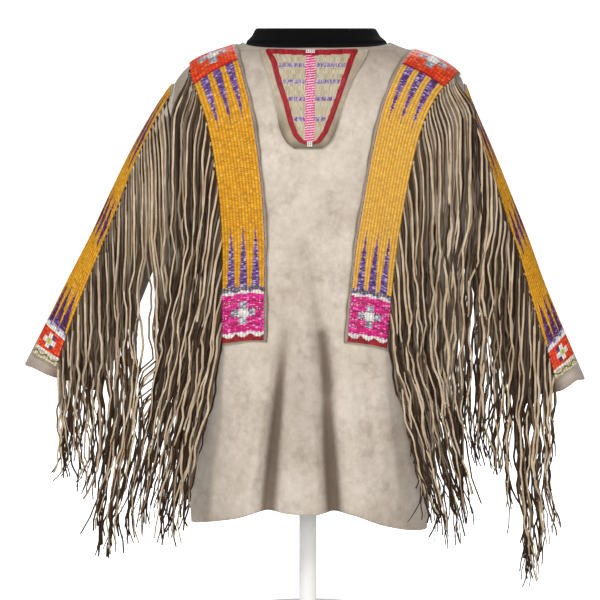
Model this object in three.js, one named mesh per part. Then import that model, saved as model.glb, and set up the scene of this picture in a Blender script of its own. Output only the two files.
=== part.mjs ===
// A quilled hide war shirt on a limbless dress form. Millimetres, +Z up. The shirt faces -Y, the form's
// pole stands on the origin, and z = 0 is the surface it stands on. Two hides make the front and back, two
// more the sleeves. Quill-wrapped strips run over the shoulders and down the sleeves, a quilled bib hangs
// at the neck, and long cut fringes hang from the edges of the strips.
import * as THREE from "three";
import { mergeVertices } from "three/addons/utils/BufferGeometryUtils.js";

// ---- Driving dimensions ----
const HIDE = 2; // thickness of the tanned hide
const SEAM = 0.3; // gap between sewn pieces
const LIE = 1.1; // gap under a piece that lies on a panel
const SEAT = 2.8; // the form's inset under the shirt's outer face: one hide and a little air
const NECKLINE = 915; // height of the neck edge at the front and back
const NECK_RISE = 8; // how much higher the neck edge is on the shoulder ridge
const SHOULDER_TIP = 864; // height of the top of each armhole
const ARMPIT = 575; // height of the bottom of each armhole
const ARMHOLE_DEPTH = 78; // half of the armhole's width, front to back
const FORM_TOP = 945;
const FORM_BOTTOM = 300;

// The body's horizontal sections: half widths to the left and right of x = 0, depths to the front and back.
// Between SHOULDER_TIP and ARMPIT the widths come from the armholes instead.
const BODY = [
  { z: 140, left: 184, right: 188, front: 133, back: 112 },
  { z: 250, left: 191, right: 198, front: 130, back: 108 },
  { z: 334, left: 200, right: 208, front: 128, back: 106 },
  { z: 380, left: 214, right: 220, front: 127, back: 105 },
  { z: 414, left: 225, right: 230, front: 126, back: 104 },
  { z: 453, left: 234, right: 238, front: 126, back: 104 },
  { z: 517, left: 241, right: 245, front: 126, back: 104 },
  { z: 575, left: 240, right: 246, front: 125, back: 104 },
  { z: 700, left: 240, right: 246, front: 123, back: 103 },
  { z: 780, left: 240, right: 246, front: 118, back: 101 },
  { z: 830, left: 225, right: 246, front: 111, back: 97 },
  { z: 864, left: 206, right: 242, front: 103, back: 92 },
  { z: 875, left: 198, right: 234, front: 98, back: 88 },
  { z: 885, left: 188, right: 222, front: 93, back: 84 },
  { z: 895, left: 174, right: 205, front: 87, back: 79 },
  { z: 905, left: 152, right: 180, front: 79, back: 73 },
  { z: 915, left: 121, right: 148, front: 70, back: 66 },
  { z: 925, left: 97, right: 124, front: 61, back: 59 },
];
// Each armhole lies in a plane that leans outwards: its distance from x = 0 at the shoulder tip and at the
// armpit.
const ARMHOLE = { left: { tip: 206, armpit: 240 }, right: { tip: 242, armpit: 246 } };

// Soft folds of the skirt: where each lies at the hem and at its upper end, and how deep (inwards) and
// wide it is.
const HEM_LEVEL = 183; // the height at which a fold has its place at the hem
const HEM_HALF = 188; // half of the hem's width
const FRONT_FOLDS = [
  { hemX: -62, topX: -34, topZ: 520, depth: 17, width: 17 },
  { hemX: 41, topX: 12, topZ: 500, depth: 17, width: 17 },
  { hemX: -112, topX: -96, topZ: 470, depth: -7, width: 28 },
  { hemX: 92, topX: 76, topZ: 470, depth: -7, width: 28 },
  { hemX: -10, topX: -10, topZ: 420, depth: -4, width: 24 },
];
const BACK_FOLDS = [
  { hemX: -80, topX: -52, topZ: 500, depth: 14, width: 24 },
  { hemX: 74, topX: 50, topZ: 540, depth: 15, width: 24 },
  { hemX: 0, topX: 4, topZ: 440, depth: -6, width: 40 },
];
const FRONT_HEM = [
  { x: -190, z: 165 },
  { x: -169, z: 171 },
  { x: -113, z: 185 },
  { x: -62, z: 198 },
  { x: -28, z: 195 },
  { x: 11, z: 194 },
  { x: 41, z: 197 },
  { x: 68, z: 192 },
  { x: 119, z: 172 },
  { x: 175, z: 157 },
  { x: 195, z: 154 },
];
const BACK_HEM = [
  { x: -190, z: 165 },
  { x: -80, z: 186 },
  { x: 0, z: 178 },
  { x: 74, z: 184 },
  { x: 195, z: 154 },
];

// Sleeves: the outer edge (top) and the under edge of each ring, its depths to front and back of its
// middle, and the middle's y. t runs from the armhole to the cuff.
const SLEEVE = {
  left: [
    { t: 0, topX: -206, topZ: 864, underX: -240, underZ: 575, front: 78, back: 78, y: 0 },
    { t: 0.1, topX: -230, topZ: 822, underX: -247, underZ: 556, front: 76, back: 76, y: -3 },
    { t: 0.25, topX: -264, topZ: 760, underX: -258, underZ: 528, front: 71, back: 70, y: -8 },
    { t: 0.4, topX: -297, topZ: 693, underX: -270, underZ: 500, front: 65, back: 62, y: -15 },
    { t: 0.55, topX: -332, topZ: 620, underX: -284, underZ: 469, front: 58, back: 54, y: -24 },
    { t: 0.7, topX: -368, topZ: 553, underX: -298, underZ: 438, front: 51, back: 46, y: -34 },
    { t: 0.85, topX: -403, topZ: 488, underX: -312, underZ: 408, front: 44, back: 39, y: -45 },
    { t: 1, topX: -438, topZ: 423, underX: -326, underZ: 378, front: 38, back: 34, y: -55 },
  ],
  right: [
    { t: 0, topX: 242, topZ: 864, underX: 246, underZ: 575, front: 78, back: 78, y: 0 },
    { t: 0.1, topX: 262, topZ: 824, underX: 253, underZ: 552, front: 76, back: 76, y: -3 },
    { t: 0.25, topX: 288, topZ: 764, underX: 264, underZ: 521, front: 71, back: 70, y: -8 },
    { t: 0.4, topX: 314, topZ: 697, underX: 276, underZ: 489, front: 65, back: 62, y: -15 },
    { t: 0.55, topX: 341, topZ: 624, underX: 288, underZ: 455, front: 58, back: 54, y: -24 },
    { t: 0.7, topX: 368, topZ: 552, underX: 300, underZ: 420, front: 51, back: 46, y: -34 },
    { t: 0.85, topX: 400, topZ: 478, underX: 313, underZ: 386, front: 44, back: 39, y: -45 },
    { t: 1, topX: 432, topZ: 404, underX: 326, underZ: 352, front: 38, back: 34, y: -55 },
  ],
};
const SLEEVE_SIDES = 16;
const SLEEVE_ROWS = [0, 0.1, 0.22, 0.34, 0.47, 0.6, 0.74, 0.87, 1];

// Shoulder strips: the middle's x and the half width at each distance along the cloth from the shoulder
// ridge, which is the same at the back. STRIP_END is that distance at each end.
const SHOULDER_STRIP = {
  left: [
    { s: 0, x: -150, half: 35 },
    { s: 50, x: -146, half: 34.5 },
    { s: 100, x: -135, half: 33.5 },
    { s: 160, x: -121, half: 33 },
    { s: 230, x: -110, half: 33 },
    { s: 310, x: -102, half: 33 },
    { s: 380, x: -99, half: 33 },
    { s: 512, x: -100, half: 33 },
  ],
  right: [
    { s: 0, x: 203, half: 35 },
    { s: 50, x: 188, half: 33 },
    { s: 100, x: 166, half: 32 },
    { s: 160, x: 145, half: 31 },
    { s: 230, x: 129, half: 30.5 },
    { s: 310, x: 115, half: 30.5 },
    { s: 400, x: 102, half: 31 },
    { s: 532, x: 90, half: 31 },
  ],
};
const STRIP_END = { left: 512, right: 532 };
const STRIP_THICK = 1.9; // the hide base with the quilled lanes between their ridges
const RIDGE = 1.1; // how far a lane stands proud
const SHOULDER_LANES = 7;
const SLEEVE_LANES = 5;

// Sleeve strips: the ring angles, in degrees from the outer edge towards the front, of the strip's two
// edges.
const SLEEVE_STRIP = [
  { t: 0.02, from: -10, to: 27 },
  { t: 0.2, from: -2, to: 38 },
  { t: 0.4, from: 9, to: 50 },
  { t: 0.6, from: 15, to: 58 },
  { t: 0.8, from: 20, to: 68 },
  { t: 0.955, from: 25, to: 77 },
];

// The bib: half widths about its middle at each depth below its upper edge.
const BIB = [
  { down: 0, middle: 10, half: 84 },
  { down: 12, middle: 9, half: 80 },
  { down: 36, middle: 6, half: 68 },
  { down: 66, middle: 3, half: 57 },
  { down: 96, middle: 1, half: 49 },
  { down: 122, middle: 0, half: 43 },
  { down: 140, middle: 0, half: 34 },
  { down: 150, middle: 0, half: 22 },
];
const BIB_TOP = 911;

// Fringes: the heights at which the strands' tips end, by x.
const TIPS = {
  left: [
    { x: -400, z: 250 },
    { x: -356, z: 232 },
    { x: -325, z: 212 },
    { x: -302, z: 124 },
    { x: -286, z: 122 },
    { x: -255, z: 150 },
    { x: -215, z: 178 },
    { x: -197, z: 142 },
    { x: -160, z: 182 },
  ],
  right: [
    { x: 165, z: 180 },
    { x: 189, z: 138 },
    { x: 209, z: 156 },
    { x: 235, z: 199 },
    { x: 249, z: 268 },
    { x: 284, z: 259 },
    { x: 304, z: 246 },
    { x: 316, z: 134 },
    { x: 333, z: 76 },
    { x: 350, z: 100 },
    { x: 371, z: 177 },
    { x: 380, z: 290 },
  ],
};
const STRAND_WIDTH = 3.4;
const STRAND_THICK = 1.8;
const TIP_WIDTH = 1.6;
const STRAND_PITCH = 4.2; // least distance between two hanging strands
const BACKING_WIDTH = 5;
const BACKING_THICK = 2.2;
const FRINGE_AIR = 2.7; // clearance of a hanging strand over the cloth behind it
const FIRST_DROP = 20; // how far below its root a strand has its first ring
const LEVELS = [835, 795, 745, 620, 490, 380, 300]; // heights of the rings of all strands that pass
const LEAN_FROM = 470; // the height below which the strands lean out,
const LEAN_OVER = 170; // and the height over which they reach their full lean
// Where the strands of a shoulder strip start: distances from the ridge, and how many are spaced up to
// each from the one before.
const FRONT_ROOTS = [
  { s: 44, strands: 1 },
  { s: 240, strands: 13 },
  { s: 500, strands: 8 },
];
const BACK_ROOTS = [
  { s: 44, strands: 1 },
  { s: 240, strands: 8 },
  { s: 480, strands: 6 },
];
// How far a strand hangs outside its root, how much further it leans out, from the innermost strand to the
// outermost, and how unevenly the strands are cut.
const SHOULDER_FRINGE = {
  front: { swing: [2, 5], lean: [54, 22], uneven: 14, seed: 71 },
  back: { swing: [2, 5], lean: [20, 10], uneven: 14, seed: 97 },
};
const BACK_TIPS = 175; // height of the tips of the back fringes
// The sleeve fringes: their first root from the armhole, the distance of the last from the strip's end,
// each root's share of its pitch, how far the strands hang inside their roots, and how much more the first
// few do.
const SLEEVE_FRINGE = {
  strands: 29,
  from: 0.055,
  last: 0.02,
  root: 0.36,
  swing: -1,
  pull: -5,
  pulled: 8,
  uneven: 16,
};
const SLEEVE_SEEDS = { left: 41, right: 53 };

// The form: its own sections below the shoulders, its neck, pole and base.
const FORM = [
  { z: 300, left: 118, right: 124, front: 60, back: 54 },
  { z: 304, left: 134, right: 140, front: 72, back: 66 },
  { z: 318, left: 148, right: 154, front: 84, back: 78 },
  { z: 360, left: 154, right: 160, front: 90, back: 84 },
  { z: 450, left: 142, right: 150, front: 86, back: 78 },
  { z: 560, left: 148, right: 160, front: 94, back: 80 },
  { z: 680, left: 166, right: 186, front: 108, back: 86 },
  { z: 780, left: 184, right: 212, front: 110, back: 90 },
  { z: 835, left: 196, right: 228, front: 104, back: 90 },
];
const FORM_SHOULDERS = [875, 883, 891, 899, 907, 915, 921]; // heights at which it follows the shirt's inside
const FORM_NECK = [
  { z: 932, left: 89, right: 114, front: 58, back: 56 },
  { z: FORM_TOP, left: 82, right: 106, front: 55, back: 53 },
];
const FORM_SIDES = 24;
const BASE = { radius: 160, thick: 12, bevel: 4 };
const POLE = { radius: 14, collar: 26, collarHeight: 16 };

// ---- Colours ----
const COLOURS = {
  hide: 0xbfb2a0,
  fringe: 0x9c8a76,
  quill: 0xd9a21b,
  bib: 0xb4a894,
  form: 0x0b0b0d,
  stand: 0xe6e4df,
};

// ---- Small tools ----
const rad = THREE.MathUtils.degToRad;
const vec = (x, y, z) => new THREE.Vector3(x, y, z);
const signOf = (side) => (side === "left" ? -1 : 1);

// The value of a column where the key column has that value, on a smooth curve through the rows.
function lookup(table, key, column, at) {
  const last = table.length - 1;
  if (at <= table[0][key]) return table[0][column];
  if (at >= table[last][key]) return table[last][column];
  let i = 0;
  while (table[i + 1][key] < at) i++;
  const slope = (a, b) => (table[b][column] - table[a][column]) / (table[b][key] - table[a][key]);
  const span = table[i + 1][key] - table[i][key];
  const here = slope(i, i + 1);
  const tangent = (before, after) => (before * after <= 0 ? 0 : (2 * before * after) / (before + after));
  const from = i > 0 ? tangent(slope(i - 1, i), here) : here;
  const to = i + 2 <= last ? tangent(here, slope(i + 1, i + 2)) : here;
  const u = (at - table[i][key]) / span;
  const h = 1 - u;
  return (
    table[i][column] * h * h * (1 + 2 * u) +
    table[i + 1][column] * u * u * (3 - 2 * u) +
    span * (from * u * h * h - to * u * u * h)
  );
}

const smooth = (u) => {
  const c = Math.min(1, Math.max(0, u));
  return c * c * (3 - 2 * c);
};
const mix = (a, b, u) => a + (b - a) * u;

// A small repeatable source of numbers from -1 to 1.
function jitterSource(seed) {
  let state = seed;
  return () => {
    state = (state * 48271) % 2147483647;
    return (2 * state) / 2147483647 - 1;
  };
}

// A closed solid from a list of vertices and faces of three or four corners.
function solid(points, faces) {
  const positions = [];
  for (const f of faces) {
    const corners = f.length === 4 ? [f[0], f[1], f[2], f[0], f[2], f[3]] : f;
    for (const c of corners) positions.push(...points[c].toArray());
  }
  let volume = 0;
  const [a, b, c] = [vec(), vec(), vec()];
  for (let i = 0; i < positions.length; i += 9) {
    a.fromArray(positions, i);
    b.fromArray(positions, i + 3);
    c.fromArray(positions, i + 6);
    volume += a.dot(b.cross(c));
  }
  if (volume < 0)
    for (let i = 0; i < positions.length; i += 9)
      for (let k = 0; k < 3; k++)
        [positions[i + 3 + k], positions[i + 6 + k]] = [positions[i + 6 + k], positions[i + 3 + k]];
  const geometry = new THREE.BufferGeometry();
  geometry.setAttribute("position", new THREE.Float32BufferAttribute(positions, 3));
  const merged = mergeVertices(geometry, 1e-3);
  merged.computeVertexNormals();
  return merged;
}

// A cloth wall: outer[row][column] and inner[row][column] points. A tube's columns close on themselves.
function wall(outer, inner, tube = false) {
  const points = [];
  const at = (grid) => grid.map((row) => row.map((p) => points.push(p) - 1));
  const o = at(outer);
  const n = at(inner);
  const faces = [];
  const rows = o.length;
  const across = o[0].length;
  const columns = tube ? across : across - 1;
  for (let r = 0; r + 1 < rows; r++)
    for (let k = 0; k < columns; k++) {
      const next = (k + 1) % across;
      faces.push([o[r][k], o[r][next], o[r + 1][next], o[r + 1][k]]);
      faces.push([n[r][k], n[r + 1][k], n[r + 1][next], n[r][next]]);
    }
  for (let k = 0; k < columns; k++) {
    const next = (k + 1) % across;
    faces.push([o[0][next], o[0][k], n[0][k], n[0][next]]);
    faces.push([o[rows - 1][k], o[rows - 1][next], n[rows - 1][next], n[rows - 1][k]]);
  }
  if (!tube)
    for (let r = 0; r + 1 < rows; r++) {
      faces.push([o[r][0], o[r + 1][0], n[r + 1][0], n[r][0]]);
      faces.push([o[r + 1][across - 1], o[r][across - 1], n[r][across - 1], n[r + 1][across - 1]]);
    }
  return solid(points, faces);
}

// A panel with raised lanes: more columns outside than inside, joined at the two ends by fans.
function lanedPanel(outer, inner) {
  const points = [];
  const at = (grid) => grid.map((row) => row.map((p) => points.push(p) - 1));
  const o = at(outer);
  const n = at(inner);
  const faces = [];
  const [rows, wide, few] = [o.length, o[0].length, n[0].length];
  for (let r = 0; r + 1 < rows; r++) {
    for (let k = 0; k + 1 < wide; k++) faces.push([o[r][k], o[r][k + 1], o[r + 1][k + 1], o[r + 1][k]]);
    for (let k = 0; k + 1 < few; k++) faces.push([n[r][k + 1], n[r][k], n[r + 1][k], n[r + 1][k + 1]]);
    faces.push([o[r][0], o[r + 1][0], n[r + 1][0], n[r][0]]);
    faces.push([o[r + 1][wide - 1], o[r][wide - 1], n[r][few - 1], n[r + 1][few - 1]]);
  }
  const share = (wide - 1) / (few - 1);
  for (const [r, flip] of [
    [0, false],
    [rows - 1, true],
  ]) {
    const face = (...corners) => faces.push(flip ? corners.reverse() : corners);
    for (let k = 0; k + 1 < few; k++) {
      const from = Math.round(k * share);
      const to = Math.round((k + 1) * share);
      for (let m = from; m < to; m++) face(o[r][m + 1], o[r][m], n[r][k]);
      face(o[r][to], n[r][k], n[r][k + 1]);
    }
  }
  return solid(points, faces);
}

// ---- The body's cloth ----
const armholeX = (side, z) =>
  mix(ARMHOLE[side].tip, ARMHOLE[side].armpit, (SHOULDER_TIP - z) / (SHOULDER_TIP - ARMPIT));

// Half the armhole's width at that height, or 0 above and below it.
function armholeHalf(z) {
  const middle = (SHOULDER_TIP + ARMPIT) / 2;
  const reach = (z - middle) / (SHOULDER_TIP - middle);
  return Math.abs(reach) >= 1 ? 0 : ARMHOLE_DEPTH * Math.sqrt(1 - reach * reach);
}

const depthAt = (face, z) => lookup(BODY, "z", face, z);

// The section's half width on that side at that height, past the armhole where there is one.
function widthAt(side, face, z) {
  const half = armholeHalf(z);
  if (!half) return lookup(BODY, "z", side, z);
  return armholeX(side, z) / Math.sqrt(1 - (half / depthAt(face, z)) ** 2);
}

// How far the folds push the cloth in at that place.
function foldAt(face, x, z) {
  let inwards = 0;
  for (const f of face === "front" ? FRONT_FOLDS : BACK_FOLDS) {
    const down = (f.topZ - z) / (f.topZ - HEM_LEVEL);
    const off = (x - mix(f.topX, f.hemX, down)) / f.width;
    inwards += f.depth * smooth(down) * Math.exp(-off * off);
  }
  return inwards;
}

const facing = (face) => (face === "front" ? -1 : 1);

// The cloth's outer face at x and z: a point, with the smooth section's own normal.
function clothAt(face, x, z) {
  const side = x < 0 ? "left" : "right";
  const step = 0.5;
  const width = widthAt(side, face, z);
  const depth = depthAt(face, z);
  const inside = Math.max(0, 1 - (x / width) ** 2);
  const y = facing(face) * Math.max(0, depth * Math.sqrt(inside) - foldAt(face, x, z) * Math.sqrt(inside));
  const widen = (widthAt(side, face, z + step) - widthAt(side, face, z - step)) / (2 * step);
  const deepen = (depthAt(face, z + step) - depthAt(face, z - step)) / (2 * step);
  const normal = vec(
    x / width ** 2,
    y / depth ** 2,
    -(x ** 2 * widen) / width ** 3 - (y ** 2 * deepen) / depth ** 3,
  ).normalize();
  return { point: vec(x, y, z), normal };
}

// A hide panel, front or back: rows from the neck edge down to the hem, columns from side to side.
function bodyPanel(face, spread) {
  const zones = [
    [0, 0.13, 0.3, 0.5, 0.74],
    [0, 0.038, 0.146, 0.309, 0.5, 0.691, 0.854, 0.962],
    [0, 0.2, 0.4, 0.6, 0.8, 1],
  ];
  const hem = face === "front" ? FRONT_HEM : BACK_HEM;
  const outer = [];
  const inner = [];
  zones.forEach((shares, zone) =>
    shares.forEach((share) => {
      const outerRow = [];
      const innerRow = [];
      for (const s of spread) {
        const side = s < 0 ? "left" : "right";
        const neck = NECKLINE + NECK_RISE * s ** 4;
        const ends = [neck, SHOULDER_TIP, ARMPIT, lookup(hem, "x", "z", s * HEM_HALF)];
        const z = mix(ends[zone], ends[zone + 1], share);
        const half = armholeHalf(z);
        const width = widthAt(side, face, z);
        const edge = half ? armholeX(side, z) : width;
        const atEdge = Math.abs(s) === 1;
        const x = signOf(side) * edge * Math.abs(s);
        const { point, normal } = clothAt(face, x, z);
        if (atEdge) {
          point.y = facing(face) * half;
          if (half) normal.x = 0;
          else normal.y = 0;
          normal.normalize();
          if (Math.abs(normal.x) + Math.abs(normal.z) < 0.01 && !half) normal.set(signOf(side), 0, 0);
        }
        const inside = point.clone().addScaledVector(normal, -HIDE);
        for (const p of [point, inside]) p.y = facing(face) * Math.max(SEAM / 2, facing(face) * p.y);
        outerRow.push(point);
        innerRow.push(inside);
      }
      outer.push(outerRow);
      inner.push(innerRow);
    }),
  );
  return wall(outer, inner);
}

// ---- Sleeves ----
// A point of a sleeve's outer face: t from armhole to cuff, and the angle from the outer edge towards the
// front.
function sleevePoint(side, t, angle) {
  const at = (column) => lookup(SLEEVE[side], "t", column, t);
  const reach = Math.cos(angle);
  const out = Math.sin(angle);
  const middleX = (at("topX") + at("underX")) / 2;
  const middleZ = (at("topZ") + at("underZ")) / 2;
  return vec(
    middleX + ((at("topX") - at("underX")) / 2) * reach,
    at("y") - out * (out > 0 ? at("front") : at("back")),
    middleZ + ((at("topZ") - at("underZ")) / 2) * reach,
  );
}

function sleeveNormal(side, t, angle) {
  const step = 0.01;
  const low = Math.max(0, t - step);
  const high = Math.min(1, t + step);
  const along = sleevePoint(side, high, angle).sub(sleevePoint(side, low, angle));
  const round = sleevePoint(side, t, angle + step).sub(sleevePoint(side, t, angle - step));
  const normal = along.cross(round).normalize();
  const middle = sleevePoint(side, t, 0).add(sleevePoint(side, t, Math.PI)).multiplyScalar(0.5);
  if (normal.dot(sleevePoint(side, t, angle).sub(middle)) < 0) normal.negate();
  return normal;
}

function sleeve(side) {
  const outer = [];
  const inner = [];
  for (const t of SLEEVE_ROWS) {
    const outerRow = [];
    const innerRow = [];
    for (let k = 0; k < SLEEVE_SIDES; k++) {
      const angle = (2 * Math.PI * k) / SLEEVE_SIDES;
      const point = sleevePoint(side, t, angle);
      const normal = sleeveNormal(side, t, angle);
      if (t === 0) {
        const down = vec(ARMHOLE[side].armpit - ARMHOLE[side].tip, 0, ARMPIT - SHOULDER_TIP);
        const across = vec(-down.z, 0, down.x * signOf(side)).normalize();
        normal.addScaledVector(across, -normal.dot(across)).normalize();
        point.x += signOf(side) * SEAM;
      }
      outerRow.push(point);
      innerRow.push(point.clone().addScaledVector(normal, -HIDE));
    }
    outer.push(outerRow);
    inner.push(innerRow);
  }
  return wall(outer, inner, true);
}

// ---- Quilled strips ----
// The cloth's section in the vertical plane at x, as points from the shoulder ridge down with their
// distance along it.
function downFromRidge(face, x) {
  const side = x < 0 ? "left" : "right";
  let [low, high] = [SHOULDER_TIP - 20, NECKLINE + 10];
  for (let i = 0; i < 40; i++) {
    const z = (low + high) / 2;
    if (lookup(BODY, "z", side, z) > Math.abs(x)) low = z;
    else high = z;
  }
  const ridge = low;
  const foot = 380; // below the strips' ends
  const steps = 90;
  const crowding = 2.2; // more steps near the ridge, where the cloth turns over
  const rows = [];
  let s = 0;
  for (let i = 0; i <= steps; i++) {
    const z = mix(ridge, foot, (i / steps) ** crowding);
    const { point } = clothAt(face, x, z);
    if (i === 0) point.y = 0;
    else s += point.distanceTo(rows[i - 1].point);
    rows.push({ s, z, point });
  }
  return rows;
}

// The point of the cloth at x that lies s along it from the ridge, lifted off the cloth.
function onCloth(face, x, s, lift) {
  const rows = downFromRidge(face, x);
  let i = 0;
  while (i + 2 < rows.length && rows[i + 1].s < s) i++;
  const u = (s - rows[i].s) / (rows[i + 1].s - rows[i].s);
  const z = mix(rows[i].z, rows[i + 1].z, u);
  const { point, normal } = clothAt(face, x, z);
  point.lerpVectors(rows[i].point, rows[i + 1].point, u);
  if (s < 1) {
    normal.y = 0;
    normal.normalize();
  }
  return point.addScaledVector(normal, lift);
}

// How far the outer surface stands proud at its column k: a lane has a column at each edge and a raised
// one between.
const laneHeight = (k) => (k % 2 ? RIDGE : 0);

// Distances along a shoulder strip from its front end over the ridge to its back end.
function stripStations(end) {
  const half = [0, 12, 24, 37, 51, 66, 84, 106, 134, 168, 208, 255, 310, 375, 443, end];
  const front = half.map((s) => -s).reverse();
  return [...front, ...half.slice(1)];
}

function shoulderStrip(side) {
  const at = (column, s) => lookup(SHOULDER_STRIP[side], "s", column, Math.abs(s));
  const columns = SHOULDER_LANES * 2;
  const plain = 4;
  const place = (s, share, lift) =>
    onCloth(s > 0 ? "back" : "front", at("x", s) + at("half", s) * share, Math.abs(s), lift);
  const outer = [];
  const inner = [];
  for (const s of stripStations(STRIP_END[side])) {
    const outerRow = [];
    for (let k = 0; k <= columns; k++)
      outerRow.push(place(s, -1 + (2 * k) / columns, LIE + STRIP_THICK + laneHeight(k)));
    outer.push(outerRow);
    const innerRow = [];
    for (let k = 0; k <= plain; k++) innerRow.push(place(s, -1 + (2 * k) / plain, LIE));
    inner.push(innerRow);
  }
  return lanedPanel(outer, inner);
}

function sleeveStrip(side) {
  const first = SLEEVE_STRIP[0].t;
  const last = SLEEVE_STRIP[SLEEVE_STRIP.length - 1].t;
  const stations = 15;
  const columns = SLEEVE_LANES * 2;
  const plain = 4;
  const outer = [];
  const inner = [];
  for (let r = 0; r <= stations; r++) {
    const t = mix(first, last, r / stations);
    const [from, to] = ["from", "to"].map((c) => rad(lookup(SLEEVE_STRIP, "t", c, t)));
    const place = (share, lift) => {
      const angle = mix(from, to, share);
      return sleevePoint(side, t, angle).addScaledVector(sleeveNormal(side, t, angle), lift);
    };
    const outerRow = [];
    for (let k = 0; k <= columns; k++)
      outerRow.push(place(k / columns, LIE + STRIP_THICK + laneHeight(k)));
    outer.push(outerRow);
    const innerRow = [];
    for (let k = 0; k <= plain; k++) innerRow.push(place(k / plain, LIE));
    inner.push(innerRow);
  }
  return lanedPanel(outer, inner);
}

// ---- The bib ----
function bib() {
  const columns = 10;
  const outer = [];
  const inner = [];
  for (const down of [0, 8, 17, 27, 38, 50, 63, 78, 94, 110, 124, 136, 145, 150]) {
    const at = (column) => lookup(BIB, "down", column, down);
    const outerRow = [];
    const innerRow = [];
    for (let k = 0; k <= columns; k++) {
      const x = at("middle") + at("half") * (-1 + (2 * k) / columns);
      const { point, normal } = clothAt("front", x, BIB_TOP - down);
      innerRow.push(point.clone().addScaledVector(normal, LIE));
      outerRow.push(point.clone().addScaledVector(normal, LIE + HIDE));
    }
    outer.push(outerRow);
    inner.push(innerRow);
  }
  return wall(outer, inner);
}

// ---- Fringes ----
// How far forward (or back) the body and sleeve reach at x and z, or 0 where neither is there.
function reachAt(face, side, x, z) {
  let reach = 0;
  const width = widthAt(side, face, z);
  const edge = armholeHalf(z) ? armholeX(side, z) : width;
  if (Math.abs(x) < edge && z < NECKLINE) reach = Math.abs(clothAt(face, x, z).point.y);
  for (let k = 1; k < 24; k++) {
    const t = k / 24;
    const top = sleevePoint(side, t, 0);
    const under = sleevePoint(side, t, Math.PI);
    const line = vec(under.x - top.x, 0, under.z - top.z);
    const here = vec(x - top.x, 0, z - top.z);
    const share = here.dot(line) / line.lengthSq();
    const aside = here.addScaledVector(line, -share).length();
    if (share < 0 || share > 1 || aside > 16) continue;
    const at = (column) => lookup(SLEEVE[side], "t", column, t);
    const bulge = Math.sqrt(Math.max(0, 1 - (2 * share - 1) ** 2));
    const y = face === "front" ? -at("y") + at("front") * bulge : at("y") + at("back") * bulge;
    reach = Math.max(reach, y);
  }
  return reach;
}

// Gives each strand its hanging line, from the innermost strand to the outermost. A strand hangs below its
// root, leans out as it falls, and is pushed outwards by the strands that hang inside it. Returns the line
// of the outermost.
function hangAll(face, side, strands, levels, inside = () => 0) {
  const sign = signOf(side);
  const outAt = (i, z) => {
    if (i < 0) return inside(z);
    const { root, swing, lean } = strands[i];
    const own = Math.abs(root.x) + swing + lean * smooth((LEAN_FROM - z) / LEAN_OVER);
    const inner = i > 0 ? strands[i - 1].root : null;
    if (!inner || z <= inner.z || inner.z > root.z) return Math.max(own, outAt(i - 1, z) + STRAND_PITCH);
    const share = Math.min(1, (root.z - z) / (root.z - inner.z));
    return Math.max(own, mix(Math.abs(root.x), Math.abs(inner.x), share) + swing + STRAND_PITCH * share);
  };
  strands.forEach((strand, i) => {
    const { root } = strand;
    const tip = strand.tipAt(outAt(i, 300) * sign);
    const first = root.z - FIRST_DROP;
    const neighbour = i > 0 ? strands[i - 1].root.z : 0;
    const heights = levels.filter((z) => z < first - 8 && z > tip + 6 && Math.abs(z - neighbour) > 14);
    if (neighbour < first - 8 && neighbour > tip + 6) heights.push(neighbour);
    heights.sort((a, b) => b - a);
    heights.unshift(first);
    heights.push(tip);
    let reach = Math.abs(root.y);
    const reachTo = (from, to) => {
      for (let h = from; h >= to; h -= 6) reach = Math.max(reach, reachAt(face, side, sign * outAt(i, h), h));
      return reach;
    };
    const reaches = heights.map((z, n) => reachTo(n ? heights[n - 1] : root.z, z));
    const lifts = heights.map(() => 0);
    for (let share = 0.55; share < 0.9; share += 0.1) {
      const out = mix(Math.abs(root.x), outAt(i, first), share);
      const need = reachAt(face, side, sign * out, mix(root.z, first, share));
      lifts[0] = Math.max(lifts[0], (need - mix(Math.abs(root.y), reaches[0], share)) / share);
    }
    for (let n = 0; n + 1 < heights.length; n++)
      for (let share = 0.2; share < 0.9; share += 0.2) {
        const h = mix(heights[n], heights[n + 1], share);
        const short = reachAt(face, side, sign * outAt(i, h), h) - mix(reaches[n], reaches[n + 1], share);
        lifts[n] = Math.max(lifts[n], short);
        lifts[n + 1] = Math.max(lifts[n + 1], short);
      }
    strand.path = heights.map((z, n) => {
      const taper = smooth(((root.z - z) / (root.z - tip) - 0.45) / 0.55);
      return {
        at: vec(sign * outAt(i, z), facing(face) * (reaches[n] + lifts[n] + FRINGE_AIR), z),
        width: mix(STRAND_WIDTH, TIP_WIDTH, taper),
        thick: mix(STRAND_THICK, TIP_WIDTH / 2, taper),
        lean: n === 0 ? strand.bend : 0,
      };
    });
  });
  return (z) => outAt(strands.length - 1, z);
}

// A strand's root: the backing's three corners at each of its two ends, from a place(distance, out, lift).
function rootAt(place, from, wide, settings) {
  const ends = [from, from + wide].map((d) => [
    place(d, 0.8, LIE),
    place(d, BACKING_WIDTH, LIE + BACKING_THICK),
    place(d, BACKING_WIDTH, LIE),
  ]);
  return { ends, root: ends[0][1].clone().lerp(ends[1][2], 0.5), ...settings };
}

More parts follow.
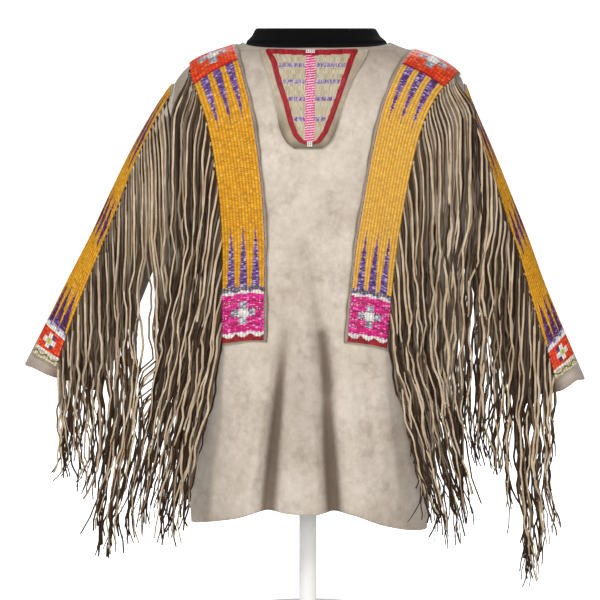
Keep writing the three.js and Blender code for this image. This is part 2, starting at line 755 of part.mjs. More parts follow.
// The strands along a shoulder strip's outer edge, at the front or the back, from its end up to the ridge.
function shoulderStrands(face, side) {
  const front = face === "front";
  const { swing, lean, uneven, seed } = SHOULDER_FRINGE[face];
  const jitter = jitterSource(seed);
  const sign = signOf(side);
  const place = (s, out, lift) => {
    const at = (column) => lookup(SHOULDER_STRIP[side], "s", column, s);
    return onCloth(face, at("x") + sign * (at("half") + SEAM + out), s, lift);
  };
  const starts = [];
  for (const row of front ? FRONT_ROOTS : BACK_ROOTS) {
    const from = starts.length ? starts[starts.length - 1] : row.s;
    for (let i = 1; i <= row.strands; i++) starts.push(mix(from, row.s, i / row.strands));
  }
  const strands = starts.toReversed().map((s, i) => {
    const share = i / (starts.length - 1);
    const offset = uneven * jitter();
    return rootAt(place, s, STRAND_WIDTH, {
      swing: mix(...swing, share),
      lean: mix(...lean, share),
      bend: sign * -0.6,
      tipAt: (x) => (front ? lookup(TIPS[side], "x", "z", x) : BACK_TIPS) + offset,
    });
  });
  const outermost = hangAll(face, side, strands, LEVELS);
  return { strands: strands.toReversed(), outermost };
}

// The strands along a sleeve strip's lower edge, outside those of the shoulder strip.
function sleeveStrands(side, inside) {
  const { strands: count, from, last, swing, pull, pulled, uneven } = SLEEVE_FRINGE;
  const jitter = jitterSource(SLEEVE_SEEDS[side]);
  const sign = signOf(side);
  const pitch = (SLEEVE_STRIP[SLEEVE_STRIP.length - 1].t - last - from) / (count - 1);
  const turn = 0.05;
  const place = (t, out, lift) => {
    const edge = rad(lookup(SLEEVE_STRIP, "t", "to", t));
    const radius = sleevePoint(side, t, edge + turn).distanceTo(sleevePoint(side, t, edge)) / turn;
    const angle = edge + (SEAM + out) / radius;
    return sleevePoint(side, t, angle).addScaledVector(sleeveNormal(side, t, angle), lift);
  };
  const strands = Array.from({ length: count }, (_, i) => {
    const offset = uneven * jitter();
    return rootAt(place, from + i * pitch, pitch * SLEEVE_FRINGE.root, {
      swing: swing + pull * Math.max(0, 1 - i / pulled),
      lean: 0,
      bend: sign * 0.5,
      tipAt: (x) => lookup(TIPS[side], "x", "z", x) + offset,
    });
  });
  hangAll("front", side, strands, LEVELS, inside);
  return strands;
}

// A fringe: a three-sided backing through the strands' roots, with a strand out of its outer face at each
// one. Turn is 1 or -1, the way that the backing runs along x.
function fringe(face, strands, turn) {
  const points = [];
  const faces = [];
  const add = (p) => points.push(p) - 1;
  const stations = [];
  for (const strand of strands) for (const end of strand.ends) stations.push(end.map(add));
  const last = stations.length - 1;
  for (let j = 0; j < last; j++)
    for (let i = 0; i < 3; i++) {
      const next = (i + 1) % 3;
      const quad = [stations[j][i], stations[j + 1][i], stations[j + 1][next], stations[j][next]];
      if (j % 2 || i !== 1) {
        faces.push(quad);
        continue;
      }
      let ring = quad;
      for (const station of strands[j / 2].path) {
        const across = vec(turn * station.width * 0.5, 0, 0).applyAxisAngle(vec(0, 1, 0), station.lean);
        const outwards = vec(0, facing(face) * station.thick * 0.5, 0);
        const corner = (a, b) =>
          add(station.at.clone().addScaledVector(across, a).addScaledVector(outwards, b));
        const fresh = [corner(-1, 1), corner(1, 1), corner(1, -1), corner(-1, -1)];
        for (let m = 0; m < 4; m++) faces.push([ring[m], ring[(m + 1) % 4], fresh[(m + 1) % 4], fresh[m]]);
        ring = fresh;
      }
      faces.push(ring);
    }
  faces.push([stations[0][0], stations[0][1], stations[0][2]]);
  faces.push([stations[last][0], stations[last][2], stations[last][1]]);
  return solid(points, faces);
}

// ---- Dress form and stand ----
// A solid through horizontal sections that close to a flat disc at both ends.
function sections(rows) {
  const points = [];
  const rings = rows.map((row) =>
    Array.from({ length: FORM_SIDES }, (_, k) => {
      const angle = (2 * Math.PI * k) / FORM_SIDES;
      const [c, s] = [Math.cos(angle), Math.sin(angle)];
      const [wide, deep] = [c < 0 ? row.left : row.right, s < 0 ? row.front : row.back];
      return points.push(vec(c * wide, s * deep, row.z)) - 1;
    }),
  );
  const faces = [];
  for (let r = 0; r + 1 < rings.length; r++)
    for (let k = 0; k < FORM_SIDES; k++) {
      const next = (k + 1) % FORM_SIDES;
      faces.push([rings[r][k], rings[r][next], rings[r + 1][next], rings[r + 1][k]]);
    }
  const [bottom, top] = [rings[0], rings[rings.length - 1]];
  for (let k = 1; k + 1 < FORM_SIDES; k++) {
    faces.push([bottom[0], bottom[k + 1], bottom[k]]);
    faces.push([top[0], top[k], top[k + 1]]);
  }
  return solid(points, faces);
}

// The torso follows the shirt's inside over the shoulders, and its own sections below.
function dressForm() {
  const under = (z) => {
    const at = (column) => lookup(BODY, "z", column, z + SEAT) - SEAT;
    return { z, left: at("left"), right: at("right"), front: at("front"), back: at("back") };
  };
  return sections([...FORM, ...FORM_SHOULDERS.map(under), ...FORM_NECK]);
}

function pole() {
  const top = FORM_BOTTOM - SEAM;
  const profile = [
    [0, BASE.thick + SEAM],
    [POLE.collar, BASE.thick + SEAM],
    [POLE.collar - 4, BASE.thick + POLE.collarHeight],
    [POLE.radius, BASE.thick + POLE.collarHeight + 4],
    [POLE.radius, top],
    [0, top],
  ];
  return new THREE.LatheGeometry(
    profile.map(([r, z]) => new THREE.Vector2(r, z)),
    20,
  ).rotateX(Math.PI / 2);
}

function base() {
  const { radius, thick, bevel } = BASE;
  const profile = [
    [0, 0],
    [radius, 0],
    [radius, thick - bevel],
    [radius - bevel, thick],
    [0, thick],
  ];
  return new THREE.LatheGeometry(
    profile.map(([r, z]) => new THREE.Vector2(r, z)),
    40,
  ).rotateX(Math.PI / 2);
}

// ---- Assembly ----
const FRONT_SPREAD = [0, 0.1, 0.17, 0.23, 0.29, 0.35, 0.41, 0.48, 0.56, 0.65, 0.75, 0.85, 0.93, 0.98, 1];
const BACK_SPREAD = [0, 0.13, 0.26, 0.4, 0.54, 0.7, 0.85, 0.96, 1];
const bothWays = (spread) => [...spread.slice(1).map((s) => -s).reverse(), ...spread];

const group = new THREE.Group();
group.name = "war_shirt_on_form";

function piece(name, geometry, color, roughness = 0.9, metalness = 0) {
  const mesh = new THREE.Mesh(geometry, new THREE.MeshStandardMaterial({ color, roughness, metalness }));
  mesh.name = name;
  group.add(mesh);
}

piece("front_hide", bodyPanel("front", bothWays(FRONT_SPREAD)), COLOURS.hide);
piece("back_hide", bodyPanel("back", bothWays(BACK_SPREAD)), COLOURS.hide);
piece("bib", bib(), COLOURS.bib);
for (const side of ["left", "right"]) {
  piece(`sleeve_${side}`, sleeve(side), COLOURS.hide);
  piece(`shoulder_strip_${side}`, shoulderStrip(side), COLOURS.quill, 0.5);
  piece(`sleeve_strip_${side}`, sleeveStrip(side), COLOURS.quill, 0.5);
  const front = shoulderStrands("front", side);
  const back = shoulderStrands("back", side);
  const onSleeve = sleeveStrands(side, front.outermost);
  piece(`front_fringe_${side}`, fringe("front", front.strands, -signOf(side)), COLOURS.fringe);
  piece(`back_fringe_${side}`, fringe("back", back.strands, -signOf(side)), COLOURS.fringe);
  piece(`sleeve_fringe_${side}`, fringe("front", onSleeve, signOf(side)), COLOURS.fringe);
}
piece("dress_form", dressForm(), COLOURS.form);
piece("stand_pole", pole(), COLOURS.stand, 0.4);
piece("stand_base", base(), COLOURS.stand, 0.4);

export default group;
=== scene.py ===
"""A quilled hide war shirt, filled out on a limbless dress form.

The shirt faces -Y, the form's pole stands on the origin, and z = 0 is the surface that its base stands on.
Sizes here are in millimetres, and the meshes are written in metres.
"""

from __future__ import annotations

import logging
import math
from collections.abc import Callable, Iterable
from dataclasses import dataclass
from enum import Enum

import bpy
import numpy as np
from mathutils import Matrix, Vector

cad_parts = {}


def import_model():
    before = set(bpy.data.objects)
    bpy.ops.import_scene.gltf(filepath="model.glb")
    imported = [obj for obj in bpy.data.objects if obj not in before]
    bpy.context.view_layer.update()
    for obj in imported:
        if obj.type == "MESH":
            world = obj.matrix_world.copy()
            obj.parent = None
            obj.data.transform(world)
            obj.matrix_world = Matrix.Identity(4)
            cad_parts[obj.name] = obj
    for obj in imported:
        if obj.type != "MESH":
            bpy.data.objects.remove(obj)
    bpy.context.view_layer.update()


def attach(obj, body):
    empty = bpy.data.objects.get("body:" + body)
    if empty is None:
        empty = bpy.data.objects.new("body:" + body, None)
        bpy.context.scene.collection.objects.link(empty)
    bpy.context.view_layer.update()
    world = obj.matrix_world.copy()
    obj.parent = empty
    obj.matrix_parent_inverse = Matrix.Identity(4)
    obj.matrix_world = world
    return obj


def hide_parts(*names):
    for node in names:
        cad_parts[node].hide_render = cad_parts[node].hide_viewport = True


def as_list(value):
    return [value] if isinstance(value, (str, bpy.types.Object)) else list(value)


LOG = logging.getLogger("war_shirt")
Array = np.ndarray
Place = Callable[[Array, Array, float | Array], Array]
Profile = list[tuple[float, float]]
Material, Object, Node, Socket = bpy.types.Material, bpy.types.Object, bpy.types.Node, bpy.types.NodeSocket
METRES = 0.001
WHITE = (1.0, 1.0, 1.0, 1.0)
NUMBER, VECTOR, GEOMETRY, MATERIAL = (f"NodeSocket{k}" for k in ("Float", "Vector", "Geometry", "Material"))
BODY_NAME = "root"


# ---- Numbers ----


class Table:
    """Rows of named columns, read along a smooth curve that never swings past them."""

    def __init__(self, names: str, *rows: tuple[float, ...]) -> None:
        """Keeps the columns.

        Args:
            names: The columns' names. The others are read by the first.
            rows: The rows, from the least first value to the greatest.
        """
        columns = np.array(rows, float).T
        self.keys = columns[0]
        self.columns = dict(zip(names.split()[1:], columns[1:]))

    def read(self, name: str, at: Array | float) -> Array:
        """Returns a column's value where the first column has the value at."""
        keys, values = self.keys, self.columns[name]
        slopes = np.diff(values) / np.diff(keys)
        before, after = slopes[:-1], slopes[1:]
        total = np.where(before + after == 0, 1, before + after)
        inner = np.where(before * after > 0, 2 * before * after / total, 0)
        tangents = np.concatenate([slopes[:1], inner, slopes[-1:]])
        place = np.clip(at, keys[0], keys[-1])
        i = np.clip(np.searchsorted(keys, place, side="right") - 1, 0, len(keys) - 2)
        span = keys[i + 1] - keys[i]
        u = (place - keys[i]) / span
        h = 1 - u
        return (
            values[i] * h * h * (1 + 2 * u)
            + values[i + 1] * u * u * (3 - 2 * u)
            + span * (tangents[i] * u * h * h - tangents[i + 1] * u * u * h)
        )

    def all(self, at: Array | float) -> dict[str, Array]:
        """Returns every column's value there, by name."""
        return {name: self.read(name, at) for name in self.columns}


def mix(low: Array | float, high: Array | float, share: Array | float) -> Array:
    """Returns the value a share of the way from low to high."""
    return low + (high - low) * share


def ease(share: Array | float) -> Array:
    """Returns 0 to 1 with a soft start and end as share goes from 0 to 1."""
    u = np.clip(share, 0, 1)
    return u * u * (3 - 2 * u)


def bump_at(distance: Array) -> Array:
    """Returns a soft bump, 1 at distance 0 and nearly 0 from distance 2."""
    return np.exp(-np.square(distance))


def unit(vectors: Array) -> Array:
    """Returns the vectors at length 1."""
    return vectors / np.maximum(np.linalg.norm(vectors, axis=-1, keepdims=True), 1e-9)


def along_line(
    x: Array, y: Array, start: tuple[float, float], end: tuple[float, float]
) -> tuple[Array, Array]:
    """Returns how far along a line the points are, from 0 to 1, and their distances from it."""
    run = np.subtract(end, start)
    share = np.clip(((x - start[0]) * run[0] + (y - start[1]) * run[1]) / (run @ run), 0, 1)
    return share, np.hypot(x - start[0] - share * run[0], y - start[1] - share * run[1])


def linear(colour: str) -> tuple[float, float, float]:
    """Returns the scene's linear colour for a written one such as #c08040."""
    parts = [int(colour[i : i + 2], 16) / 255 for i in (1, 3, 5)]
    red, green, blue = [p / 12.92 if p <= 0.04045 else ((p + 0.055) / 1.055) ** 2.4 for p in parts]
    return (red, green, blue)


# ---- Driving sizes ----


class Way(Enum):
    """A direction from the shirt's middle, by its sign."""

    @property
    def word(self) -> str:
        """The direction's name in the names of pieces and columns."""
        return self.name.lower()


class Side(Way):
    """A side of the shirt, by the sign of its x."""

    LEFT = -1
    RIGHT = 1


class Face(Way):
    """The front or the back, by the sign of its y."""

    FRONT = -1
    BACK = 1


HIDE = 2.0  # thickness of the tanned hide
SEAM = 0.3  # gap between sewn pieces
LIE = 1.1  # gap under a piece that lies on a panel
NECKLINE = 915.0
NECK_RISE = 8.0
SHOULDER_TIP = 864.0
ARMPIT = 575.0
ARMHOLE_DEPTH = 78.0
HEM_LEVEL = 183.0  # the height at which a fold has its place at the hem
HEM_HALF = 188.0

BODY = Table(
    "z left right front back",
    (140, 184, 188, 133, 112), (250, 191, 198, 130, 108), (334, 200, 208, 128, 106),
    (380, 214, 220, 127, 105), (414, 225, 230, 126, 104), (453, 234, 238, 126, 104),
    (517, 241, 245, 126, 104), (575, 240, 246, 125, 104), (700, 240, 246, 123, 103),
    (780, 240, 246, 118, 101), (830, 225, 246, 111, 97), (864, 206, 242, 103, 92),
    (875, 198, 234, 98, 88), (885, 188, 222, 93, 84), (895, 174, 205, 87, 79), (905, 152, 180, 79, 73),
    (915, 121, 148, 70, 66), (925, 97, 124, 61, 59),
)
HEMS = {
    Face.FRONT: Table(
        "x z",
        (-190, 165), (-169, 171), (-113, 185), (-62, 198), (-28, 195), (11, 194), (41, 197), (68, 192),
        (119, 172), (175, 157), (195, 154),
    ),
    Face.BACK: Table("x z", (-190, 165), (-80, 186), (0, 178), (74, 184), (195, 154)),
}


@dataclass(frozen=True)
class Fold:
    """A soft fold of the skirt, deepest at the hem. A negative depth stands out."""

    hem_x: float
    top_x: float
    top_z: float
    depth: float
    width: float

    def press(self, x: Array, z: Array) -> Array:
        """Returns how far the fold pushes the cloth in at x and z."""
        down = (self.top_z - z) / (self.top_z - HEM_LEVEL)
        off = (x - mix(self.top_x, self.hem_x, down)) / self.width
        return self.depth * ease(down) * bump_at(off)


@dataclass(frozen=True)
class Crease:
    """A shallow crease along a line from one place to another. A negative depth stands out."""

    x: float
    z: float
    to_x: float
    to_z: float
    depth: float
    width: float

    def press(self, x: Array, z: Array) -> Array:
        """Returns how far the crease pushes the cloth in at x and z."""
        share, off = along_line(x, z, (self.x, self.z), (self.to_x, self.to_z))
        return self.depth * np.sin(math.pi * mix(0.15, 0.85, share)) * bump_at(off / self.width)


FOLDS = {
    Face.FRONT: (
        Fold(-62, -34, 520, 17, 17), Fold(41, 12, 500, 17, 17), Fold(-112, -96, 470, -7, 28),
        Fold(92, 76, 470, -7, 28), Fold(-10, -10, 420, -4, 24),
    ),
    Face.BACK: (
        Fold(-80, -52, 500, 14, 24), Fold(74, 50, 540, 15, 24), Fold(0, 4, 440, -6, 40),
    ),
}
def creases(*rows: tuple[float, ...]) -> list[Crease]:
    """Returns a crease for each row of its places, depth and width."""
    return [Crease(*row) for row in rows]


CREASES = {
    Face.FRONT: creases(
        (-72, 880, -58, 740, 2.2, 9), (84, 880, 62, 760, 2.4, 10), (-60, 700, -48, 560, 1.8, 12),
        (38, 690, 58, 540, 1.8, 12), (-8, 730, -2, 600, -1.6, 16), (-54, 560, 6, 610, 1.4, 10),
        (22, 640, 70, 700, -1.5, 9), (-30, 530, -72, 176, 13.0, 10), (26, 470, 43, 178, 13.5, 11),
        (-4, 610, 34, 390, 11.0, 11), (-48, 500, -92, 178, -5.0, 9), (-4, 490, 16, 182, -5.0, 10),
        (-78, 470, -92, 240, -2.4, 14), (60, 470, 74, 230, -2.6, 12), (88, 420, 112, 250, 2.2, 7),
        (-120, 430, -150, 250, 2.6, 12), (128, 420, 152, 240, 2.6, 12), (64, 440, 84, 320, 2.2, 9),
        (-84, 300, -96, 205, -2.0, 10), (4, 330, -2, 200, 2.0, 8), (110, 300, 118, 190, -2.2, 9),
        (-178, 560, -120, 470, 3.0, 10), (182, 560, 130, 460, 3.0, 10), (-188, 520, -140, 400, 2.4, 9),
        (190, 510, 146, 390, 2.4, 9),
    ),
    Face.BACK: creases(
        (-60, 850, -40, 690, 3.0, 14), (66, 850, 44, 680, 3.0, 14), (0, 820, 4, 640, -2.0, 22),
        (-52, 500, -76, 300, 3.5, 12), (50, 530, 70, 300, 3.5, 12), (-180, 560, -110, 470, 3.2, 11),
        (182, 560, 112, 460, 3.2, 11), (-150, 430, -164, 240, 2.6, 12), (148, 430, 166, 230, 2.6, 12),
        (-20, 420, -30, 230, 2.2, 12), (26, 400, 34, 210, 2.2, 12),
    ),
}


# ---- The shape of the shirt ----


class BodyShape:
    """The outer face of the shirt's body, which carries the hides, the strips and the bib."""

    @staticmethod
    def by_side(x: Array, left: Array | float, right: Array | float) -> Array:
        """Returns left where x is negative and right elsewhere."""
        return np.where(np.asarray(x) < 0, left, right)

    def armhole_edge(self, x: Array, z: Array) -> Array:
        """Returns the distance of the armhole's leaning plane from x = 0, on x's side."""
        share = (SHOULDER_TIP - z) / (SHOULDER_TIP - ARMPIT)
        return self.by_side(x, mix(206, 240, share), mix(242, 246, share))

    @staticmethod
    def armhole_half(z: Array) -> Array:
        """Returns half the armhole's width at a height, or 0 above and below it."""
        middle = (SHOULDER_TIP + ARMPIT) / 2
        reach = (z - middle) / (SHOULDER_TIP - middle)
        return ARMHOLE_DEPTH * np.sqrt(np.clip(1 - reach**2, 0, None))

    def width(self, face: Face, x: Array, z: Array) -> Array:
        """Returns the section's half width on x's side, past the armhole where there is one."""
        half = self.armhole_half(z)
        inside = 1 - (half / BODY.read(face.word, z)) ** 2
        plain = self.by_side(x, BODY.read("left", z), BODY.read("right", z))
        return np.where(half > 0, self.armhole_edge(x, z) / np.sqrt(inside), plain)

    def edge(self, face: Face, x: Array, z: Array) -> Array:
        """Returns how far from x = 0 the hide ends on x's side, at the side seam or the armhole."""
        return np.where(self.armhole_half(z) > 0, self.armhole_edge(x, z), self.width(face, x, z))

    def cloth(self, face: Face, x: Array, z: Array) -> tuple[Array, Array]:
        """Returns the points of the outer face at x and z, and the smooth section's normals there."""
        step = 0.5
        width, depth = self.width(face, x, z), BODY.read(face.word, z)
        flat = np.sqrt(np.clip(1 - (x / width) ** 2, 0, None))
        fold = sum(f.press(x, z) for f in FOLDS[face])
        y = face.value * np.clip((depth - fold) * flat, 0, None)
        widen = (self.width(face, x, z + step) - self.width(face, x, z - step)) / (2 * step)
        deepen = (BODY.read(face.word, z + step) - BODY.read(face.word, z - step)) / (2 * step)
        slope = -(x**2) * widen / width**3 - (y**2) * deepen / depth**3
        points = np.stack([x + 0 * z, y, z + 0 * x], -1)
        return points, unit(np.stack([x / width**2, y / depth**2, slope], -1))

    def lifted(self, face: Face, x: Array, z: Array, lift: Array | float) -> Array:
        """Returns the points at x and z, lifted off the outer face."""
        points, normals = self.cloth(face, x, z)
        return points + normals * np.asarray(lift)[..., None]


class SleeveShape:
    """The outer face of a sleeve, by its length share t and the angle from its outer edge forwards."""

    ROWS = {
        Side.LEFT: Table(
            "t top_x top_z under_x under_z front back y",
            (0, -206, 864, -240, 575, 78, 78, 0), (0.1, -235, 822, -247, 556, 76, 76, -3),
            (0.25, -271, 760, -258, 528, 71, 70, -8), (0.4, -305, 693, -270, 500, 65, 62, -15),
            (0.55, -340, 620, -284, 469, 58, 54, -24), (0.7, -376, 553, -298, 438, 51, 46, -34),
            (0.85, -410, 488, -312, 408, 44, 39, -45), (1, -443, 423, -326, 378, 38, 34, -55),
        ),
        Side.RIGHT: Table(
            "t top_x top_z under_x under_z front back y",
            (0, 242, 864, 246, 575, 78, 78, 0), (0.1, 257, 824, 253, 552, 76, 76, -3),
            (0.25, 283, 764, 264, 521, 71, 70, -8), (0.4, 311, 697, 276, 489, 65, 62, -15),
            (0.55, 341, 624, 288, 455, 58, 54, -24), (0.7, 368, 552, 300, 420, 51, 46, -34),
            (0.85, 400, 478, 313, 386, 44, 39, -45), (1, 432, 404, 326, 352, 38, 34, -55),
        ),
    }

    def __init__(self, side: Side) -> None:
        """Keeps the side's rows."""
        self.side = side
        self.rows = self.ROWS[side]

    def point(self, t: Array, angle: Array) -> Array:
        """Returns the points at t and angle. Past the cuff they run straight on."""
        low, high, past = 0.97, 1.0, np.maximum(t - 1, 0)
        ends = [self._ring(np.full_like(t, k), angle) for k in (low, high)]
        return self._ring(np.minimum(t, 1), angle) + (ends[1] - ends[0]) * (past / (high - low))[..., None]

    def _ring(self, t: Array, angle: Array) -> Array:
        """Returns the points of the rings between the armhole and the cuff."""
        at = self.rows.all(t)
        reach, out = np.cos(angle), np.sin(angle)
        x = (at["top_x"] + at["under_x"]) / 2 + (at["top_x"] - at["under_x"]) / 2 * reach
        z = (at["top_z"] + at["under_z"]) / 2 + (at["top_z"] - at["under_z"]) / 2 * reach
        return np.stack([x, at["y"] - out * np.where(out > 0, at["front"], at["back"]), z], -1)

    def normal(self, t: Array, angle: Array) -> Array:
        """Returns the outward normals at t and angle."""
        step = 0.01
        low, high = np.maximum(t - step, 0), np.maximum(t, step) + step
        along = self.point(high, angle) - self.point(low, angle)
        around = self.point(t, angle + step) - self.point(t, angle - step)
        normals = unit(np.cross(along, around))
        middle = (self.point(t, 0 * angle) + self.point(t, 0 * angle + math.pi)) / 2
        outwards = np.sum(normals * (self.point(t, angle) - middle), -1, keepdims=True)
        return np.where(outwards < 0, -normals, normals)


# ---- Meshes ----


def grid_quads(rows: int, columns: int, start: int = 0, tube: bool = False) -> Array:
    """Returns the quads of a grid of points that are numbered row by row from start."""
    numbers = start + np.arange(rows * columns).reshape(rows, columns)
    if tube:
        numbers = np.concatenate([numbers, numbers[:, :1]], 1)
    corners = (numbers[:-1, :-1], numbers[:-1, 1:], numbers[1:, 1:], numbers[1:, :-1])
    return np.stack([c.ravel() for c in corners], -1)


def round_rings(profile: Profile, angles: Array) -> Array:
    """Returns rings of points about the z axis at the profile's radii and heights."""
    ring = np.stack([np.cos(angles), np.sin(angles)], -1)
    return np.array([np.concatenate([ring * r, np.full((len(ring), 1), z)], 1) for r, z in profile])


def slab(outer: Array, inner: Array, tube: bool = False) -> tuple[Array, list[tuple[int, ...]]]:
    """Joins two grids of points to one closed wall.

    Args:
        outer: The outer face's points, by row and column.
        inner: The inner face's, as many, or every second or so of them.
        tube: Whether the columns close on themselves.

    Returns:
        The points and the faces, the outer face's first and facing outwards.
    """
    count = outer.shape[0] * outer.shape[1]
    faces = grid_quads(*outer.shape[:2], 0, tube).tolist()
    faces += grid_quads(*inner.shape[:2], count, tube)[:, ::-1].tolist()
    rims = []
    for first, wall in ((0, outer), (count, inner)):
        numbers = first + np.arange(wall.shape[0] * wall.shape[1]).reshape(wall.shape[:2])
        across = np.concatenate([numbers, numbers[:, :1]], 1) if tube else numbers
        ends = [across[0], across[-1][::-1]]
        rims.append(ends if tube else [*ends, numbers[::-1, 0], numbers[:, -1]])
    for near, far in zip(*rims):
        step = (len(near) - 1) // (len(far) - 1)
        for k in range(len(far) - 1):
            faces.append([*near[k * step : (k + 1) * step + 1][::-1].tolist(), int(far[k]), int(far[k + 1])])
    points = np.concatenate([outer.reshape(-1, 3), inner.reshape(-1, 3)])
    turns = np.array([(f[0], f[k], f[k + 1]) for f in faces for k in range(1, len(f) - 1)])
    corner, second, third = (points[turns[:, k]] for k in range(3))
    if np.sum(corner * np.cross(second, third)) < 0:
        faces = [face[::-1] for face in faces]
    return points, faces


def into_scene(name: str, data: bpy.types.ID) -> Object:
    """Returns a new object of a mesh, a light or a camera, in the scene."""
    made = bpy.data.objects.new(name, data)
    bpy.context.scene.collection.objects.link(made)
    return made


def make_object(name: str, points: Array, faces: list, finish: Material) -> Object:
    """Returns a new smooth-shaded object from points in millimetres."""
    mesh = bpy.data.meshes.new(name)
    mesh.from_pydata((points * METRES).tolist(), [], faces)
    mesh.shade_smooth()
    mesh.materials.append(finish)
    return into_scene(name, mesh)


def paint_faces(made: Object, dyes: Array, plain: str) -> None:
    """Gives a quilled piece's first faces their dyes and its hidden ones a plain colour."""
    rgba = np.ones((len(made.data.polygons), 4))
    rgba[:, :3] = linear(plain)
    rgba[: dyes[..., 0].size, :3] = dyes.reshape(-1, 3)
    corners = np.empty(len(rgba), np.int32)
    made.data.polygons.foreach_get("loop_total", corners)
    layer = made.data.color_attributes.new("Dye", "FLOAT_COLOR", "CORNER")
    layer.data.foreach_set("color", np.repeat(rgba, corners, axis=0).ravel())


def mark_points(made: Object, name: str, *values: Array) -> None:
    """Gives each point of a mesh a value, in an attribute."""
    layer = made.data.attributes.new(name, "FLOAT", "POINT")
    layer.data.foreach_set("value", np.concatenate([np.ravel(v) for v in values]).astype(np.float32))


def unwrap(made: Object, outer: Array, inner: Array) -> None:
    """Gives a quilled piece its UV map, in metres, from the places of both its faces' points."""
    places = np.concatenate([outer.reshape(-1, 2), inner.reshape(-1, 2)]) * METRES
    layer = made.data.uv_layers.new(name="Strip")
    corners = np.empty(len(made.data.loops), np.int32)
    made.data.loops.foreach_get("vertex_index", corners)
    layer.data.foreach_set("uv", places[corners].astype(np.float32).ravel())


def hand_over(made: Object, slot: str, *nodes: str) -> Object:
    """Makes a piece ride on the part and stand for its CAD nodes, which it hides; its slot is only logged."""
    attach(made, BODY_NAME)
    if nodes:
        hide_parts(*nodes)
    LOG.info("%s: %d faces, slot %s, for %s", made.name, len(made.data.polygons), slot, nodes or "detail")
    return made


# ---- Shader groups and finishes ----


class Nodes:
    """A builder of the nodes of one tree."""

    def __init__(self, tree: bpy.types.NodeTree) -> None:
        """Starts on a tree."""
        self.tree = tree

    def fill(self, node: Node, inputs: dict[str | int, object]) -> None:
        """Gives a node's sockets, by name or number, each a plain value or a socket to link from."""
        for name, value in inputs.items():
            if isinstance(value, Socket):
                self.tree.links.new(value, node.inputs[name])
            else:
                node.inputs[name].default_value = value

    def add(self, kind: str, inputs: dict[str | int, object] | None = None, **settings: object) -> Node:
        """Adds a node.

        Args:
            kind: The node's type.
            inputs: What its sockets are given, as for fill.
            settings: Its own properties.

        Returns:
            The node.
        """
        node = self.tree.nodes.new(kind)
        for name, value in settings.items():
            setattr(node, name, value)
        self.fill(node, inputs or {})
        return node

    def first(self, kind: str, inputs: dict[str | int, object] | None = None, **settings: object) -> Socket:
        """Adds a node and returns its first output."""
        return self.add(kind, inputs, **settings).outputs[0]


class Shader(Nodes):
    """A builder of shader nodes, in a material or a group."""

    def math(self, operation: str, first: object, second: object = 0.0) -> Socket:
        """Returns the output of a Math node."""
        return self.first("ShaderNodeMath", {0: first, 1: second}, operation=operation)

    def noise(self, vector: Socket, scale: object, detail: float = 3.0, rough: float = 0.55) -> Socket:
        """Returns the value of a noise at a scale in repeats a metre."""
        values = {"Vector": vector, "Scale": scale, "Detail": detail, "Roughness": rough}
        return self.add("ShaderNodeTexNoise", values).outputs["Fac"]

    def spread(self, value: Socket, low: float, high: float, first: float = 0.0, last: float = 1.0) -> Socket:
        """Returns value moved from the range low to high to the range first to last, and clamped."""
        values = {"Value": value, "From Min": low, "From Max": high, "To Min": first, "To Max": last}
        return self.add("ShaderNodeMapRange", values, clamp=True).outputs["Result"]

    def blend(self, share: Socket, low: object, high: object) -> Socket:
        """Returns two colours, each a socket or plain, mixed by a share."""
        low, high = (colour if isinstance(colour, Socket) else (*colour, 1.0) for colour in (low, high))
        return self.add("ShaderNodeMix", {0: share, 6: low, 7: high}, data_type="RGBA").outputs[2]

    def bump(self, strength: float, distance: float, height: Socket) -> Socket:
        """Returns the normals of a bump as high as a distance in metres."""
        values = {"Strength": strength, "Distance": distance, "Height": height}
        return self.add("ShaderNodeBump", values).outputs["Normal"]

    def place(self) -> Socket:
        """Returns the place on the object, in metres."""
        return self.add("ShaderNodeTexCoord").outputs["Object"]

    def attribute(self, name: str, output: str = "Fac") -> Socket:
        """Returns a named attribute's values."""
        return self.add("ShaderNodeAttribute", attribute_name=name).outputs[output]


def shader_group(name: str, inputs: dict[str, tuple[str, float]], outputs: dict[str, str]) -> tuple:
    """Starts a shader group.

    Args:
        name: The group's name.
        inputs: Each input's socket type and first value.
        outputs: Each output's socket type.

    Returns:
        The group's builder, its inputs to link from and its output node.
    """
    tree = bpy.data.node_groups.new(name, "ShaderNodeTree")
    for label, (kind, value) in inputs.items():
        socket = tree.interface.new_socket(label, in_out="INPUT", socket_type=kind)
        if kind == NUMBER:
            socket.default_value = value
    for label, kind in outputs.items():
        tree.interface.new_socket(label, in_out="OUTPUT", socket_type=kind)
    build = Shader(tree)
    return build, build.add("NodeGroupInput").outputs, build.add("NodeGroupOutput")


def hide_grain_group() -> bpy.types.NodeTree:
    """Returns the group that all hide uses: its mottling, its soil and its napped grain."""
    build, given, result = shader_group(
        "Hide grain",
        {"Vector": (VECTOR, 0), "Mottle scale": (NUMBER, 9), "Grain scale": (NUMBER, 520)},
        {"Mottle": NUMBER, "Soil": NUMBER, "Height": NUMBER},
    )
    place = given["Vector"]
    large = build.noise(place, given["Mottle scale"], 4.0, 0.6)
    small = build.noise(place, 85.0, 3.0, 0.65)
    mottle = build.math("ADD", build.math("MULTIPLY", large, 0.62), build.math("MULTIPLY", small, 0.38))
    spots = build.noise(place, 30.0, 5.0, 0.7)
    grain = build.noise(place, given["Grain scale"], 2.0, 0.6)
    pores = build.add("ShaderNodeTexVoronoi", {"Vector": place, "Scale": 330.0}).outputs["Distance"]
    height = build.math("ADD", build.math("MULTIPLY", grain, 0.6), build.math("MULTIPLY", pores, 0.25))
    height = build.math("ADD", height, build.math("MULTIPLY", small, 0.9))
    # Stains only here: the painted shade comes in through a point attribute, in the hide material.
    mottle, soil = build.spread(mottle, 0.36, 0.64), build.spread(spots, 0.52, 0.74)
    build.fill(result, {"Mottle": mottle, "Soil": soil, "Height": height})
    return build.tree


